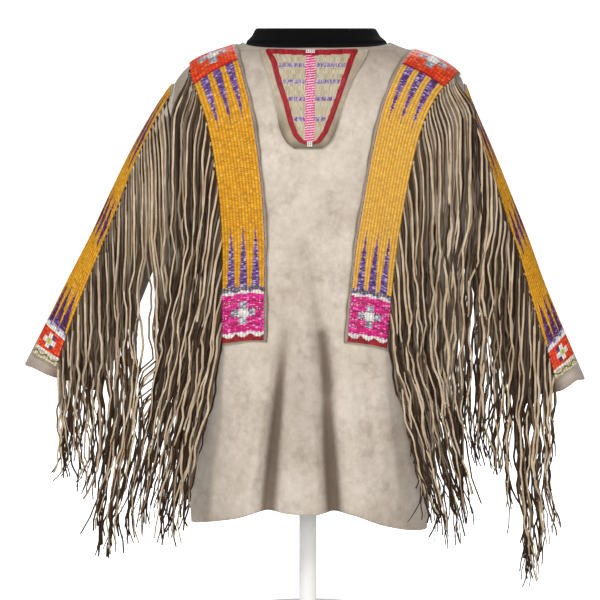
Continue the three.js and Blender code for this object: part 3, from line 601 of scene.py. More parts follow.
def wraps_group() -> bpy.types.NodeTree:
    """Returns the group that all quillwork uses: quills wrapped side by side along V, each domed, with
    painted shade in the grooves between them.
    """
    build, given, result = shader_group(
        "Quill wraps",
        {"Place": (VECTOR, 0), "Pitch": (NUMBER, 0.0016)},
        {"Height": NUMBER, "Groove": NUMBER},
    )
    split = build.add("ShaderNodeSeparateXYZ", {0: given["Place"]})
    wander = build.noise(given["Place"], 260.0, 2.0)
    along = build.math("ADD", split.outputs["Y"], build.math("MULTIPLY", wander, 0.0006))
    turn = build.math("MULTIPLY", build.math("DIVIDE", along, given["Pitch"]), math.pi)
    dome = build.math("ABSOLUTE", build.math("SINE", turn))
    # Painted shade in the grooves between the wraps.
    groove_shade = build.spread(dome, 0.0, 0.45, 1.0, 0.0)
    build.fill(result, {"Height": build.math("POWER", dome, 0.6), "Groove": groove_shade})
    return build.tree


def new_material(name: str) -> tuple[Material, Shader, Node]:
    """Returns a new material with its builder and its Principled shader."""
    made = bpy.data.materials.new(name)
    made.use_nodes = True
    return made, Shader(made.node_tree), made.node_tree.nodes["Principled BSDF"]


@dataclass(frozen=True)
class HideFinish:
    """Smoked, napped hide: pale where it is clean, darker and browner with stains, and darkened by a point
    attribute that paints shade and soil.
    """

    name: str
    pale: str
    warm: str
    dark: str
    mottle_scale: float = 9.0
    bump: float = 0.35
    tinted: bool = False  # whether each strand is darkened by its Shade attribute, which paints the shade of the strands behind

    def build(self, grain: bpy.types.NodeTree) -> Material:
        """Returns the material."""
        made, build, shader = new_material(self.name)
        values = {"Vector": build.place(), "Mottle scale": self.mottle_scale}
        hide = build.add("ShaderNodeGroup", values, node_tree=grain)
        colour = build.blend(hide.outputs["Mottle"], linear(self.warm), linear(self.pale))
        spots = build.math("MULTIPLY", hide.outputs["Soil"], 0.35)
        colour = build.blend(spots, colour, linear(self.dark))
        # The pieces' point attribute, which carries painted shade and soil, darkens the hide.
        soil = build.math("MULTIPLY", build.attribute("Soil"), 0.85)
        colour = build.blend(soil, colour, linear(self.dark))
        if self.tinted:
            # Painted shade on the fringe strands, from their Shade attribute, towards near-black brown.
            colour = build.blend(build.attribute("Shade"), colour, linear("#2c1b10"))
        look = {
            "Base Color": colour,
            "Roughness": build.spread(hide.outputs["Mottle"], 0.0, 1.0, 0.96, 0.82),
            "Normal": build.bump(self.bump, 0.0009, hide.outputs["Height"]),
            "Sheen Weight": 0.03 if self.tinted else 0.12,
            "Sheen Roughness": 0.5,
            "Specular IOR Level": 0.12 if self.tinted else 0.25,
        }
        build.fill(shader, look)
        return made


@dataclass(frozen=True)
class QuillFinish:
    """Dyed porcupine quills: satin, each wrap domed, with the colour of its own attribute and painted shade
    in the grooves between wraps.
    """

    name: str
    pitch: float = 0.0016
    bump: float = 0.5

    def build(self, wraps: bpy.types.NodeTree) -> Material:
        """Returns the material."""
        made, build, shader = new_material(self.name)
        place = build.add("ShaderNodeUVMap", uv_map="Strip").outputs["UV"]
        wrap = build.add("ShaderNodeGroup", {"Place": place, "Pitch": self.pitch}, node_tree=wraps)
        worn = build.spread(build.noise(place, 45.0, 4.0, 0.65), 0.5, 0.75)
        fade_and_painted_light = build.math("MULTIPLY", worn, 0.12)
        colour = build.blend(fade_and_painted_light, build.attribute("Dye", "Color"), linear("#a88c58"))
        # Painted shade in the grooves between the wraps, towards dark brown.
        groove_shade = build.math("MULTIPLY", wrap.outputs["Groove"], 0.42)
        look = {
            "Base Color": build.blend(groove_shade, colour, linear("#3a2412")),
            "Roughness": build.spread(worn, 0.0, 1.0, 0.42, 0.62),
            "Normal": build.bump(self.bump, 0.0005, wrap.outputs["Height"]),
            "Specular IOR Level": 0.22,
        }
        build.fill(shader, look)
        return made


@dataclass(frozen=True)
class KnitFinish:
    """The form's black knitted cover: fine ribs of loops with a soft sheen."""

    name: str
    rib: float = 620.0  # repeats a metre

    def build(self) -> Material:
        """Returns the material."""
        made, build, shader = new_material(self.name)
        place = build.place()
        split = build.add("ShaderNodeSeparateXYZ", {0: place})
        around = build.math("ARCTAN2", split.outputs["Y"], split.outputs["X"])
        across = build.math("SINE", build.math("MULTIPLY", around, 520.0))
        down = build.math("SINE", build.math("MULTIPLY", split.outputs["Z"], self.rib * math.tau))
        loops = build.math("MULTIPLY", build.math("ADD", across, 1.0), build.math("ADD", down, 1.0))
        lint = build.spread(build.noise(place, 140.0, 4.0, 0.7), 0.6, 0.8)
        look = {
            "Base Color": build.blend(lint, linear("#020203"), linear("#0e0d11")),
            "Roughness": build.spread(lint, 0.0, 1.0, 0.86, 0.95),
            "Normal": build.bump(0.4, 0.0005, loops),
            "Sheen Weight": 0.03,
            "Specular IOR Level": 0.12,
        }
        build.fill(shader, look)
        return made


@dataclass(frozen=True)
class EnamelFinish:
    """White stove enamel on steel, slightly uneven, with scuffs that dull it."""

    name: str

    def build(self) -> Material:
        """Returns the material."""
        made, build, shader = new_material(self.name)
        place = build.place()
        scuffs = build.spread(build.noise(place, 32.0, 6.0, 0.7), 0.56, 0.72)
        dulled = build.math("MULTIPLY", scuffs, 0.35)
        look = {
            "Base Color": build.blend(dulled, linear("#f6f5f2"), linear("#dedbd4")),
            "Roughness": build.spread(scuffs, 0.0, 1.0, 0.28, 0.5),
            "Normal": build.bump(0.12, 0.0004, build.noise(place, 420.0, 1.0)),
            "Coat Weight": 0.3,
        }
        build.fill(shader, look)
        return made


@dataclass(frozen=True)
class ThreadFinish:
    """Twisted sinew thread, or small glass beads with a finer bump."""

    name: str
    colour: str
    dark: str
    rough: float
    scale: float = 900.0

    def build(self) -> Material:
        """Returns the material."""
        made, build, shader = new_material(self.name)
        fibre = build.noise(build.place(), self.scale, 3.0, 0.6)
        colour = build.blend(build.spread(fibre, 0.35, 0.65), linear(self.dark), linear(self.colour))
        normal = build.bump(0.25, 0.0003, fibre)
        build.fill(shader, {"Base Color": colour, "Roughness": self.rough, "Normal": normal})
        return made


class Finishes:
    """Every material of the part, built once."""

    def __init__(self) -> None:
        """Builds the groups and the materials."""
        grain, wraps = hide_grain_group(), wraps_group()
        self.hide = HideFinish("Smoked hide", "#cfc4b8", "#b2a494", "#5f4c3e").build(grain)
        self.strip_hide = HideFinish("Strip hide", "#b3a58f", "#94846c", "#4a3829", 14.0).build(grain)
        self.bib_hide = HideFinish("Bib hide", "#c2b5a2", "#a3937d", "#5e5140", 16.0).build(grain)
        fringe = HideFinish("Fringe hide", "#d0bea6", "#ae9475", "#4c3423", 26.0, 0.3, True)
        self.fringe = fringe.build(grain)
        self.quill = QuillFinish("Dyed quills").build(wraps)
        self.knit = KnitFinish("Black knit").build()
        self.enamel = EnamelFinish("White enamel").build()
        self.sinew = ThreadFinish("Sinew", "#b7a68b", "#7d6b55", 0.6).build()
        self.bead = ThreadFinish("White beads", "#f0ece6", "#d6cfc6", 0.18, 300.0).build()


# ---- Geometry node trees ----


class NodeTree(Nodes):
    """A geometry node tree with named inputs, which turns an object's mesh into a plain new one."""

    def __init__(self, name: str, inputs: dict[str, str]) -> None:
        """Starts the tree.

        Args:
            name: The tree's name.
            inputs: The socket type of each named input, besides the geometry and the material.
        """
        super().__init__(bpy.data.node_groups.new(name, "GeometryNodeTree"))
        face = self.tree.interface
        face.new_socket("Geometry", in_out="INPUT", socket_type=GEOMETRY)
        self.sockets = {
            label: face.new_socket(label, in_out="INPUT", socket_type=kind).identifier
            for label, kind in {**inputs, "Material": MATERIAL}.items()
        }
        face.new_socket("Geometry", in_out="OUTPUT", socket_type=GEOMETRY)
        self.given = self.add("NodeGroupInput").outputs
        self.result = self.add("NodeGroupOutput")

    def attribute(self, name: str, kind: str = "FLOAT") -> Socket:
        """Returns a named attribute's values."""
        return self.first("GeometryNodeInputNamedAttribute", {"Name": name}, data_type=kind)

    def end(self, geometry: Socket) -> None:
        """Ends the tree in smooth shading, real instances and the given material."""
        smooth = self.first("GeometryNodeSetShadeSmooth", {"Geometry": geometry})
        real = self.first("GeometryNodeRealizeInstances", {"Geometry": smooth})
        dressed = {"Geometry": real, "Material": self.given["Material"]}
        self.fill(self.result, {"Geometry": self.first("GeometryNodeSetMaterial", dressed)})

    def run(self, made: Object, **values: object) -> Object:
        """Runs the tree on an object's mesh and keeps the result as its plain mesh."""
        modifier = made.modifiers.new("Nodes", "NODES")
        modifier.node_group = self.tree
        for label, value in values.items():
            modifier[self.sockets[label]] = value
        graph = bpy.context.evaluated_depsgraph_get()
        mesh = bpy.data.meshes.new_from_object(made.evaluated_get(graph), depsgraph=graph)
        made.modifiers.remove(modifier)
        old, made.data = made.data, mesh
        bpy.data.meshes.remove(old)
        mesh.name = made.name
        return made


def strand_tree() -> NodeTree:
    """Returns the tree that gives each line of a fringe its flat, twisted, tapering strand."""
    tree = NodeTree("Fringe strands", {"Width": NUMBER, "Thickness": NUMBER})
    curve = tree.first("GeometryNodeMeshToCurve", {0: tree.given["Geometry"]})
    facing = {"Curve": curve, "Normal": tree.attribute("Facing", "FLOAT_VECTOR")}
    curve = tree.first("GeometryNodeSetCurveNormal", facing, mode="FREE")
    circle = tree.first("GeometryNodeCurvePrimitiveCircle", {"Resolution": 6, "Radius": 0.5})
    size = tree.first("ShaderNodeCombineXYZ", {0: tree.given["Thickness"], 1: tree.given["Width"], 2: 1.0})
    profile = tree.first("GeometryNodeTransform", {"Geometry": circle, "Scale": size})
    shape = {"Curve": curve, "Profile Curve": profile, "Scale": tree.attribute("Breadth"), "Fill Caps": True}
    tree.end(tree.first("GeometryNodeCurveToMesh", shape))
    return tree


def stitch_tree() -> NodeTree:
    """Returns the tree that lays short stitches along lines, each a little turned from its line."""
    tree = NodeTree("Stitches", {label: NUMBER for label in ("Pitch", "Thread", "Length", "Turn")})
    pitch, thread, length, turn = (tree.given[label] for label in ("Pitch", "Thread", "Length", "Turn"))
    curve = tree.first("GeometryNodeMeshToCurve", {0: tree.given["Geometry"]})
    points = tree.add("GeometryNodeCurveToPoints", {"Curve": curve, "Length": pitch}, mode="LENGTH").outputs
    bead = tree.first("GeometryNodeMeshIcoSphere", {"Radius": 0.5, "Subdivisions": 2})
    size = tree.first("ShaderNodeCombineXYZ", {0: thread, 1: thread, 2: length})
    stitch = tree.first("GeometryNodeTransform", {"Geometry": bead, "Scale": size})
    turned = tree.first("ShaderNodeCombineXYZ", {1: turn})
    stitch = tree.first("GeometryNodeTransform", {"Geometry": stitch, "Rotation": turned})
    places = {"Points": points["Points"], "Instance": stitch, "Rotation": points["Rotation"]}
    tree.end(tree.first("GeometryNodeInstanceOnPoints", places))
    return tree


def bead_tree() -> NodeTree:
    """Returns the tree that puts a small bead on each point."""
    tree = NodeTree("Beads", {"Diameter": NUMBER})
    ball = tree.first("GeometryNodeMeshUVSphere", {"Segments": 12, "Rings": 8, "Radius": 0.5})
    size = tree.first("ShaderNodeCombineXYZ", {k: tree.given["Diameter"] for k in range(3)})
    points = tree.first("GeometryNodeMeshToPoints", {"Mesh": tree.given["Geometry"]})
    tree.end(tree.first("GeometryNodeInstanceOnPoints", {"Points": points, "Instance": ball, "Scale": size}))
    return tree


def make_lines(name: str, lines: Iterable[Array], finish: Material) -> Object:
    """Returns a new object of bare edges along lines of points in millimetres."""
    points, edges, start = [], [], 0
    for line in lines:
        points.append(line)
        numbers = start + np.arange(len(line))
        edges.append(np.stack([numbers[:-1], numbers[1:]], -1))
        start += len(line)
    mesh = bpy.data.meshes.new(name)
    mesh.from_pydata((np.concatenate(points) * METRES).tolist(), np.concatenate(edges).tolist(), [])
    mesh.materials.append(finish)
    return into_scene(name, mesh)


# ---- The hides and the sleeves ----


@dataclass
class Cut:
    """The flat piece that a sheet was cut to, in metres and square metres."""

    width: float
    length: float
    area: float | None = None

    def declare(self, made: Object, held: str, rests_on: list[str], on_it: list) -> None:
        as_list(rests_on)


@dataclass
class BodyHide:
    """The front or the back hide, from the neck edge to the hem."""

    face: Face
    shape: BodyShape
    cut: Cut
    columns: int = 171
    zone_rows: tuple[int, int, int] = (22, 84, 96)

    def rows(self) -> list[tuple[int, float]]:
        """Returns each row's zone, neck to shoulder tip, armhole or skirt, and its share of it."""
        neck, armhole, skirt = self.zone_rows
        shares = [
            np.arange(neck) / neck,
            (1 - np.cos(math.pi * np.arange(armhole) / armhole)) / 2,
            np.arange(skirt + 1) / skirt,
        ]
        return [(zone, share) for zone in range(3) for share in shares[zone]]

    def build(self, finish: Material) -> Object:
        """Returns the hide."""
        spread = np.sin(np.linspace(-math.pi / 2, math.pi / 2, self.columns))
        neck = NECKLINE + NECK_RISE * spread**4
        tip, armpit = np.full_like(spread, SHOULDER_TIP), np.full_like(spread, ARMPIT)
        ends = [neck, tip, armpit, HEMS[self.face].read("z", spread * HEM_HALF)]
        z = np.array([mix(ends[zone], ends[zone + 1], share) for zone, share in self.rows()])
        spread = np.broadcast_to(spread, z.shape)
        x = self.shape.edge(self.face, spread, z) * spread
        points, normals = self.shape.cloth(self.face, x, z)
        seam = ease((1 - np.abs(spread)) / 0.05)
        press = sum(c.press(x, z) for c in CREASES[self.face]) * seam
        half = self.shape.armhole_half(z)
        at_edge = np.abs(spread) > 1 - 1e-9
        points[..., 1] = np.where(at_edge, self.face.value * half, points[..., 1])
        normals[at_edge & (half > 0), 0] = 0
        normals[at_edge & (half <= 0), 1] = 0
        normals = unit(normals)
        press = press + self.ripple(x, z) * seam
        outer = points - normals * press[..., None]
        inner = outer - normals * HIDE
        for wall in (outer, inner):
            wall[..., 1] = self.face.value * np.maximum(SEAM / 2, self.face.value * wall[..., 1])
        made = make_object(f"{self.face.word}_hide_shell", *slab(outer, inner[::2]), finish)
        # The hide's point attribute carries painted shade and soil; the inner face is darkened fully.
        soil = self.soil(x, z, press)
        mark_points(made, "Soil", soil, np.ones_like(soil[::2]))
        return made

    @staticmethod
    def ripple(x: Array, z: Array) -> Array:
        """Returns the slight unevenness of soft hide that hangs."""
        wide = 0.5 * np.sin(x / 31 + 0.9 * np.sin(z / 57)) * np.sin(z / 83 + 0.6)
        fine = 0.22 * np.sin(x / 9.5 + 2.1 * np.sin(z / 23 + 1)) * np.sin(z / 17 + np.sin(x / 40))
        return 0.5 + wide * 0.5 + fine

    def soil(self, x: Array, z: Array, press: Array) -> Array:
        """Returns how dark the hide is painted: painted shade in its folds, under the fringes, at the neck
        and beside the strips, and darker towards the hem and between the front folds.
        """
        folds = sum(f.press(x, z) for f in FOLDS[self.face])
        # Painted shade in the folds and creases.
        painted_fold_shade = ease((folds + press - 5) / 15)
        # Painted shade under the fringes, towards the sides.
        under = ease((np.abs(x) - np.interp(z, (170, 460, 860), (178, 118, 150))) / 70)
        # Painted shade at the neck edge and beside the shoulder strips.
        neck = 0.3 * ease((z - 880) / 40) + 0.35 * ease((z - 790) / 100) * ease((np.abs(x - 8) - 48) / 34)
        # Darker towards the hem, and a darker, browner patch between the front folds.
        hem = 0.2 * ease((215 - z) / 40)
        between = 0.3 * bump_at((x + 10) / 30) * bump_at((z - 370) / 120) * (self.face is Face.FRONT)
        return np.clip(painted_fold_shade + under * 0.5 + neck + hem + between, 0, 1)


@dataclass
class Sleeve:
    """A sleeve: one hide rolled to a tube from the armhole to the open cuff."""

    shape: SleeveShape
    cut: Cut
    rows: int = 131
    columns: int = 104

    def build(self, finish: Material) -> Object:
        """Returns the sleeve."""
        side = self.shape.side
        angles = np.linspace(0, math.tau, self.columns, endpoint=False)
        share, angle = np.meshgrid(np.linspace(0, 1, self.rows), angles, indexing="ij")
        t = share * (1 + self.cuff(angle))
        points, normals = self.shape.point(t, angle), self.shape.normal(t, angle)
        at_armhole = t == 0
        run_x, run_z = self.lean()
        across = unit(np.array([-run_z, 0, run_x * side.value]))
        flat = unit(normals - np.sum(normals * across, -1, keepdims=True) * across)
        normals = np.where(at_armhole[..., None], flat, normals)
        points[..., 0] += np.where(at_armhole, side.value * SEAM, 0)
        press = self.press(t, angle) * ease(t / 0.05)
        outer = points - normals * press[..., None]
        inner = outer - normals * HIDE
        made = make_object(f"sleeve_{side.word}_shell", *slab(outer, inner[::2], tube=True), finish)
        # Painted shade in the troughs and wrinkles and under the fringe at the front, over a light base;
        # darker towards the cuff. The inner face is darkened fully.
        soil = np.clip(0.15 + press / 9 + 0.35 * ease((t - 0.93) / 0.07) + 0.5 * self.under(angle), 0, 1)
        mark_points(made, "Soil", soil, np.ones_like(soil[::2]))
        return made

    def lean(self) -> tuple[float, float]:
        """Returns the run in x and z from the shoulder tip to the armpit."""
        rows = self.shape.rows
        run_x = abs(rows.read("under_x", 0)) - abs(rows.read("top_x", 0))
        return float(run_x), ARMPIT - SHOULDER_TIP

    def cuff(self, angle: Array) -> Array:
        """Returns how much longer than its length share 1 the sleeve is at the cuff's edge."""
        reach = 0.012 if self.shape.side is Side.RIGHT else 0.005
        return reach * (np.sin(2 * angle + 0.4) + 0.6 * np.sin(5 * angle + 1.1) - 0.4)

    @staticmethod
    def under(angle: Array) -> Array:
        """Returns the share of painted shade under the fringe: 1 at the sleeve's front and 0 on its outer
        edge and back.
        """
        return ease((np.sin(angle - 0.9) - 0.1) / 0.5)

    @staticmethod
    def press(t: Array, angle: Array) -> Array:
        """Returns how far the sleeve's two long troughs and its short wrinkles push it in."""

        def turn(centre: Array | float) -> Array:
            """Returns the turn from centre to the angle, the short way round."""
            return np.mod(angle - centre + math.pi, math.tau) - math.pi

        long_front = 5.5 * bump_at(turn(2.2 + 0.35 * t) / 0.28) * ease(t / 0.25)
        long_back = 5.0 * bump_at(turn(-1.5 - 0.3 * t) / 0.3) * ease(t / 0.3)
        elbow = sum(
            2.2 * bump_at((t - at - 0.05 * np.sin(angle)) / 0.018) * ease(-turn(0.2) / 1.2 + 0.1)
            for at in (0.36, 0.45, 0.56, 0.7)
        )
        cuff = 2.6 * ease((t - 0.72) / 0.28) * (0.5 + 0.5 * np.sin(4 * angle + 5 * t))
        strip = bump_at(turn(0.55 + 0.35 * t) / 0.5)
        return 0.3 + (long_front + long_back + elbow + cuff) * (1 - strip)


# ---- Quillwork ----


class Dye(Enum):
    """A dyed quill's shades, each with its share."""

    YELLOW = (("#d49208", 0.46), ("#dc9f12", 0.26), ("#bc7e08", 0.22), ("#e2b23c", 0.06))
    PURPLE = (("#56307c", 0.42), ("#7a5aa0", 0.3), ("#3a1e54", 0.16), ("#b3a6c6", 0.12))
    MAROON = (("#401a52", 0.5), ("#5a2452", 0.3), ("#7a5aa0", 0.12), ("#2a1030", 0.08))
    MAGENTA = (("#cc1672", 0.42), ("#e2389a", 0.24), ("#a60e56", 0.24), ("#ee84bc", 0.1))
    WINE = (("#7c0c44", 0.6), ("#95205c", 0.4))
    ORANGE = (("#dc3a12", 0.45), ("#c8260e", 0.35), ("#ea6a22", 0.14), ("#a81c10", 0.06))
    RED = (("#980a1e", 0.5), ("#78081a", 0.34), ("#ac2030", 0.16))
    WHITE = (("#ece6dc", 0.5), ("#d8cfc6", 0.3), ("#c9bfd0", 0.2))
    GREY = (("#9a9ca6", 0.45), ("#cfd0d2", 0.25), ("#666673", 0.3))
    DARK = (("#4a4440", 0.6), ("#6c6a5e", 0.4))
    CREAM = (("#c9bd98", 0.5), ("#ddd3b6", 0.3), ("#a39a72", 0.2))
    GREEN = (("#a9b64e", 0.6), ("#d2c24a", 0.4))
    NATURAL = (("#b2a68c", 0.5), ("#bfb49c", 0.3), ("#a0917a", 0.2))
    LAVENDER = (("#8d7ca6", 0.5), ("#5f4a80", 0.22), ("#b5a9c0", 0.2), ("#2e2238", 0.08))
    PINK = (("#c42c68", 0.6), ("#d85a8e", 0.25), ("#a01e54", 0.15))
    BLUSH = (("#ecd4dc", 0.5), ("#e0a0ba", 0.5))


DYES = list(Dye)
BOX_ROWS = 5


def dye_colours(kinds: Array, seed: int, wide: int = 1, tall: int = 1) -> Array:
    """Gives each quill a shade of its dye.

    Args:
        kinds: The dye's number for each face, by row and column.
        seed: The seed of the shades.
        wide: The columns that one quill covers.
        tall: And the rows.

    Returns:
        Linear colours, in the shape of kinds with three channels.
    """
    chance = np.random.default_rng(seed)
    rows, quills = -(-len(kinds) // tall), -(-kinds.shape[1] // wide)
    pick, light = chance.random((rows, quills)), chance.uniform(0.88, 1.08, (rows, quills))
    i, j = np.arange(len(kinds)) // tall, np.arange(kinds.shape[1]) // wide
    pick, light = pick[np.ix_(i, j)], light[np.ix_(i, j)]
    colours = np.zeros((*kinds.shape, 3))
    for number, dye in enumerate(DYES):
        limits = np.cumsum([share for _, share in dye.value])
        shades = np.array([linear(shade) for shade, _ in dye.value])
        chosen = shades[np.clip(np.searchsorted(limits, pick), 0, len(shades) - 1)]
        colours = np.where((kinds == number)[..., None], chosen, colours)
    return colours * light[..., None]


def scallop(share: Array, count: float) -> Array:
    """Returns 0 to 1 in round waves, count of them from share -1 to 1."""
    return np.abs(np.sin(math.pi * count * (share + 1) / 2))


class Pattern:
    """The dyes of a quilled strip, laid on one after another over a plain ground."""

    def __init__(self, share: Array, ground: Dye) -> None:
        """Starts with the ground on every quill, from their places across the strip, -1 to 1."""
        self.share = share
        self.kinds = np.full(share.shape, DYES.index(ground))

    def lay(self, where: Array, dye: Dye) -> None:
        """Lays a dye where the mask says."""
        self.kinds[where] = DYES.index(dye)

    def spears(
        self, along: Array, ends: tuple, lanes: Iterable[float], half: float, dye: Dye = Dye.PURPLE
    ) -> None:
        """Lays narrow spears.

        Args:
            along: Each quill's place along the strip.
            ends: The places along of the spears' bases and of their tips.
            lanes: Their middles across.
            half: Half of their width at the base, across.
            dye: Their dye.
        """
        left = 1 - (along - ends[0]) / (ends[1] - ends[0])
        ragged = 0.02 * np.sin(along * 1.9) + 0.015 * np.sin(along * 4.3)
        for lane in lanes:
            near = np.abs(self.share - lane) < half * left**0.8 + ragged
            self.lay((left > 0) & (left <= 1) & near, dye)

    def box(self, along: Array, ends: tuple, ground: Dye, cross: tuple) -> None:
        """Lays a box of five rows of quills with a grey and white cross.

        Args:
            along: Each quill's place along the strip.
            ends: The places along where the box starts and ends.
            ground: The box's own dye.
            cross: Half of the widths of its upright and its level bar, across the strip.
        """
        low, high = ends
        upright, level = cross
        inside = (along >= low) & (along < high)
        aside = np.abs(self.share)
        row = np.floor(BOX_ROWS * (along - low) / (high - low)) - BOX_ROWS // 2
        self.lay(inside, ground)
        self.lay(inside & (np.abs(row) == 1) & (aside < upright), Dye.GREY)
        self.lay(inside & (row == 0) & (aside < level), Dye.GREY)
        self.lay(inside & (row == 0) & (aside < upright * 1.1), Dye.WHITE)


@dataclass
class Strip:
    """A quilled strip: ribs of wrapped quills on a hide base that shows as a margin at one edge."""

    name: str
    place: Place
    length: float
    half_width: Callable[[Array], Array]
    inner_edge: int  # the sign of share where the margin is
    ribs: int
    wraps: float = 1.6
    columns_per_rib: int = 4
    margin: float = 4.0
    base: float = 1.2
    boxes: tuple[tuple[float, float, int], ...] = ()  # each one's start, end and rows of quills
    bleached: float = 0.0  # how far the yellow is painted lighter and paler, for the stronger light and sheen on this strip

    RIB_LIGHT = (0.76, 1.06)  # painted shade at a rib's edges and painted light on its crest, as factors on the quills' colour
    RIB_HEIGHT = 0.95

    def stations(self) -> Array:
        """Returns the places along the strip, one for each wrap."""
        return np.linspace(0, self.length, int(self.length / self.wraps) + 1)

    def shares(self) -> Array:
        """Returns the places across the strip, from -1 to 1."""
        return np.linspace(-1, 1, self.ribs * self.columns_per_rib + 1)

    def quills(self) -> list[Array]:
        """Returns the middle of each quill, along the strip and across it."""
        middles = ((ends[1:] + ends[:-1]) / 2 for ends in (self.stations(), self.shares()))
        return np.meshgrid(*middles, indexing="ij")

    def relief(self, along: Array, share: Array) -> Array:
        """Returns the height of the ribs, which turn to rows across the strip in its boxes."""
        ribs = self.RIB_HEIGHT * np.sqrt(scallop(share, self.ribs))
        for start, end, count in self.boxes:
            inside = (along >= start) & (along <= end)
            rows = np.abs(np.sin(math.pi * count * (along - start) / (end - start)))
            ribs = np.where(inside, self.RIB_HEIGHT * np.sqrt(rows), ribs)
        return ribs * ease((1 - np.abs(share)) / 0.04)

    def build(self, kinds: Array, finishes: Finishes, seed: int) -> tuple[Object, Object]:
        """Builds the strip.

        Args:
            kinds: The dye of each quill, by station and column.
            finishes: The part's materials.
            seed: The seed of the quills' shades.

        Returns:
            The quilled layer and its hide base.
        """
        along, share = np.meshgrid(self.stations(), self.shares(), indexing="ij")
        low = LIE + self.base
        outer = self.place(along, share, low + 0.75 + self.relief(along, share))
        inner = self.place(along, share, low + 0.05)[:, :: self.columns_per_rib]
        quills = make_object(f"{self.name}_quills", *slab(outer, inner), finishes.quill)
        colours = dye_colours(kinds, seed, self.columns_per_rib)
        # Painted light: the yellow quills are paled towards light gold on the strip that is painted lighter.
        fade_and_painted_light = (kinds == DYES.index(Dye.YELLOW))[..., None] * self.bleached
        # Painted shade on the columns at each rib's edges and painted light on its crest.
        rib = np.abs(np.arange(kinds.shape[1]) % self.columns_per_rib - (self.columns_per_rib - 1) / 2)
        lit = np.where(rib > self.columns_per_rib / 4, *self.RIB_LIGHT)[:, None]
        paint_faces(quills, mix(colours, np.array(linear("#ecca74")), fade_and_painted_light) * lit, "#8a7548")
        across = share * self.half_width(along)
        places = np.stack([across, along], -1)
        for start, end, _ in self.boxes:
            inside = ((along >= start) & (along <= end))[..., None]
            places = np.where(inside, places[..., ::-1], places)
        unwrap(quills, places, places[:, :: self.columns_per_rib])
        return quills, self.hide_base(finishes.strip_hide)

    def hide_base(self, finish: Material) -> Object:
        """Returns the hide under the quills, with its margin at the inner edge."""
        stations = np.linspace(-self.margin * 0.6, self.length + self.margin * 0.6, 240)
        shares = np.linspace(0, 1, 15)
        along, share = np.meshgrid(stations, shares, indexing="ij")
        half = self.half_width(along)
        edges = sorted((self.inner_edge * (1 + self.margin / half.mean()), -self.inner_edge * 1.01))
        uneven = 0.9 * np.sin(along / 23) + 0.5 * np.sin(along / 7.3)
        across = mix(edges[0], edges[1], share)
        across = across + np.where(np.abs(across) > 1, self.inner_edge * uneven / half, 0)
        soft = LIE + self.base - 0.5 * (np.abs(2 * share - 1) > 0.99)
        outer, inner = self.place(along, across, soft), self.place(along, across, LIE)
        made = make_object(f"{self.name}_base", *slab(outer, inner), finish)
        # Painted shadow beside the quills, with a darker cut edge, on the margin.
        soil = ease((np.abs(across) - 1.0) / (self.margin / half.mean())) * 0.8
        mark_points(made, "Soil", soil, soil)
        return made


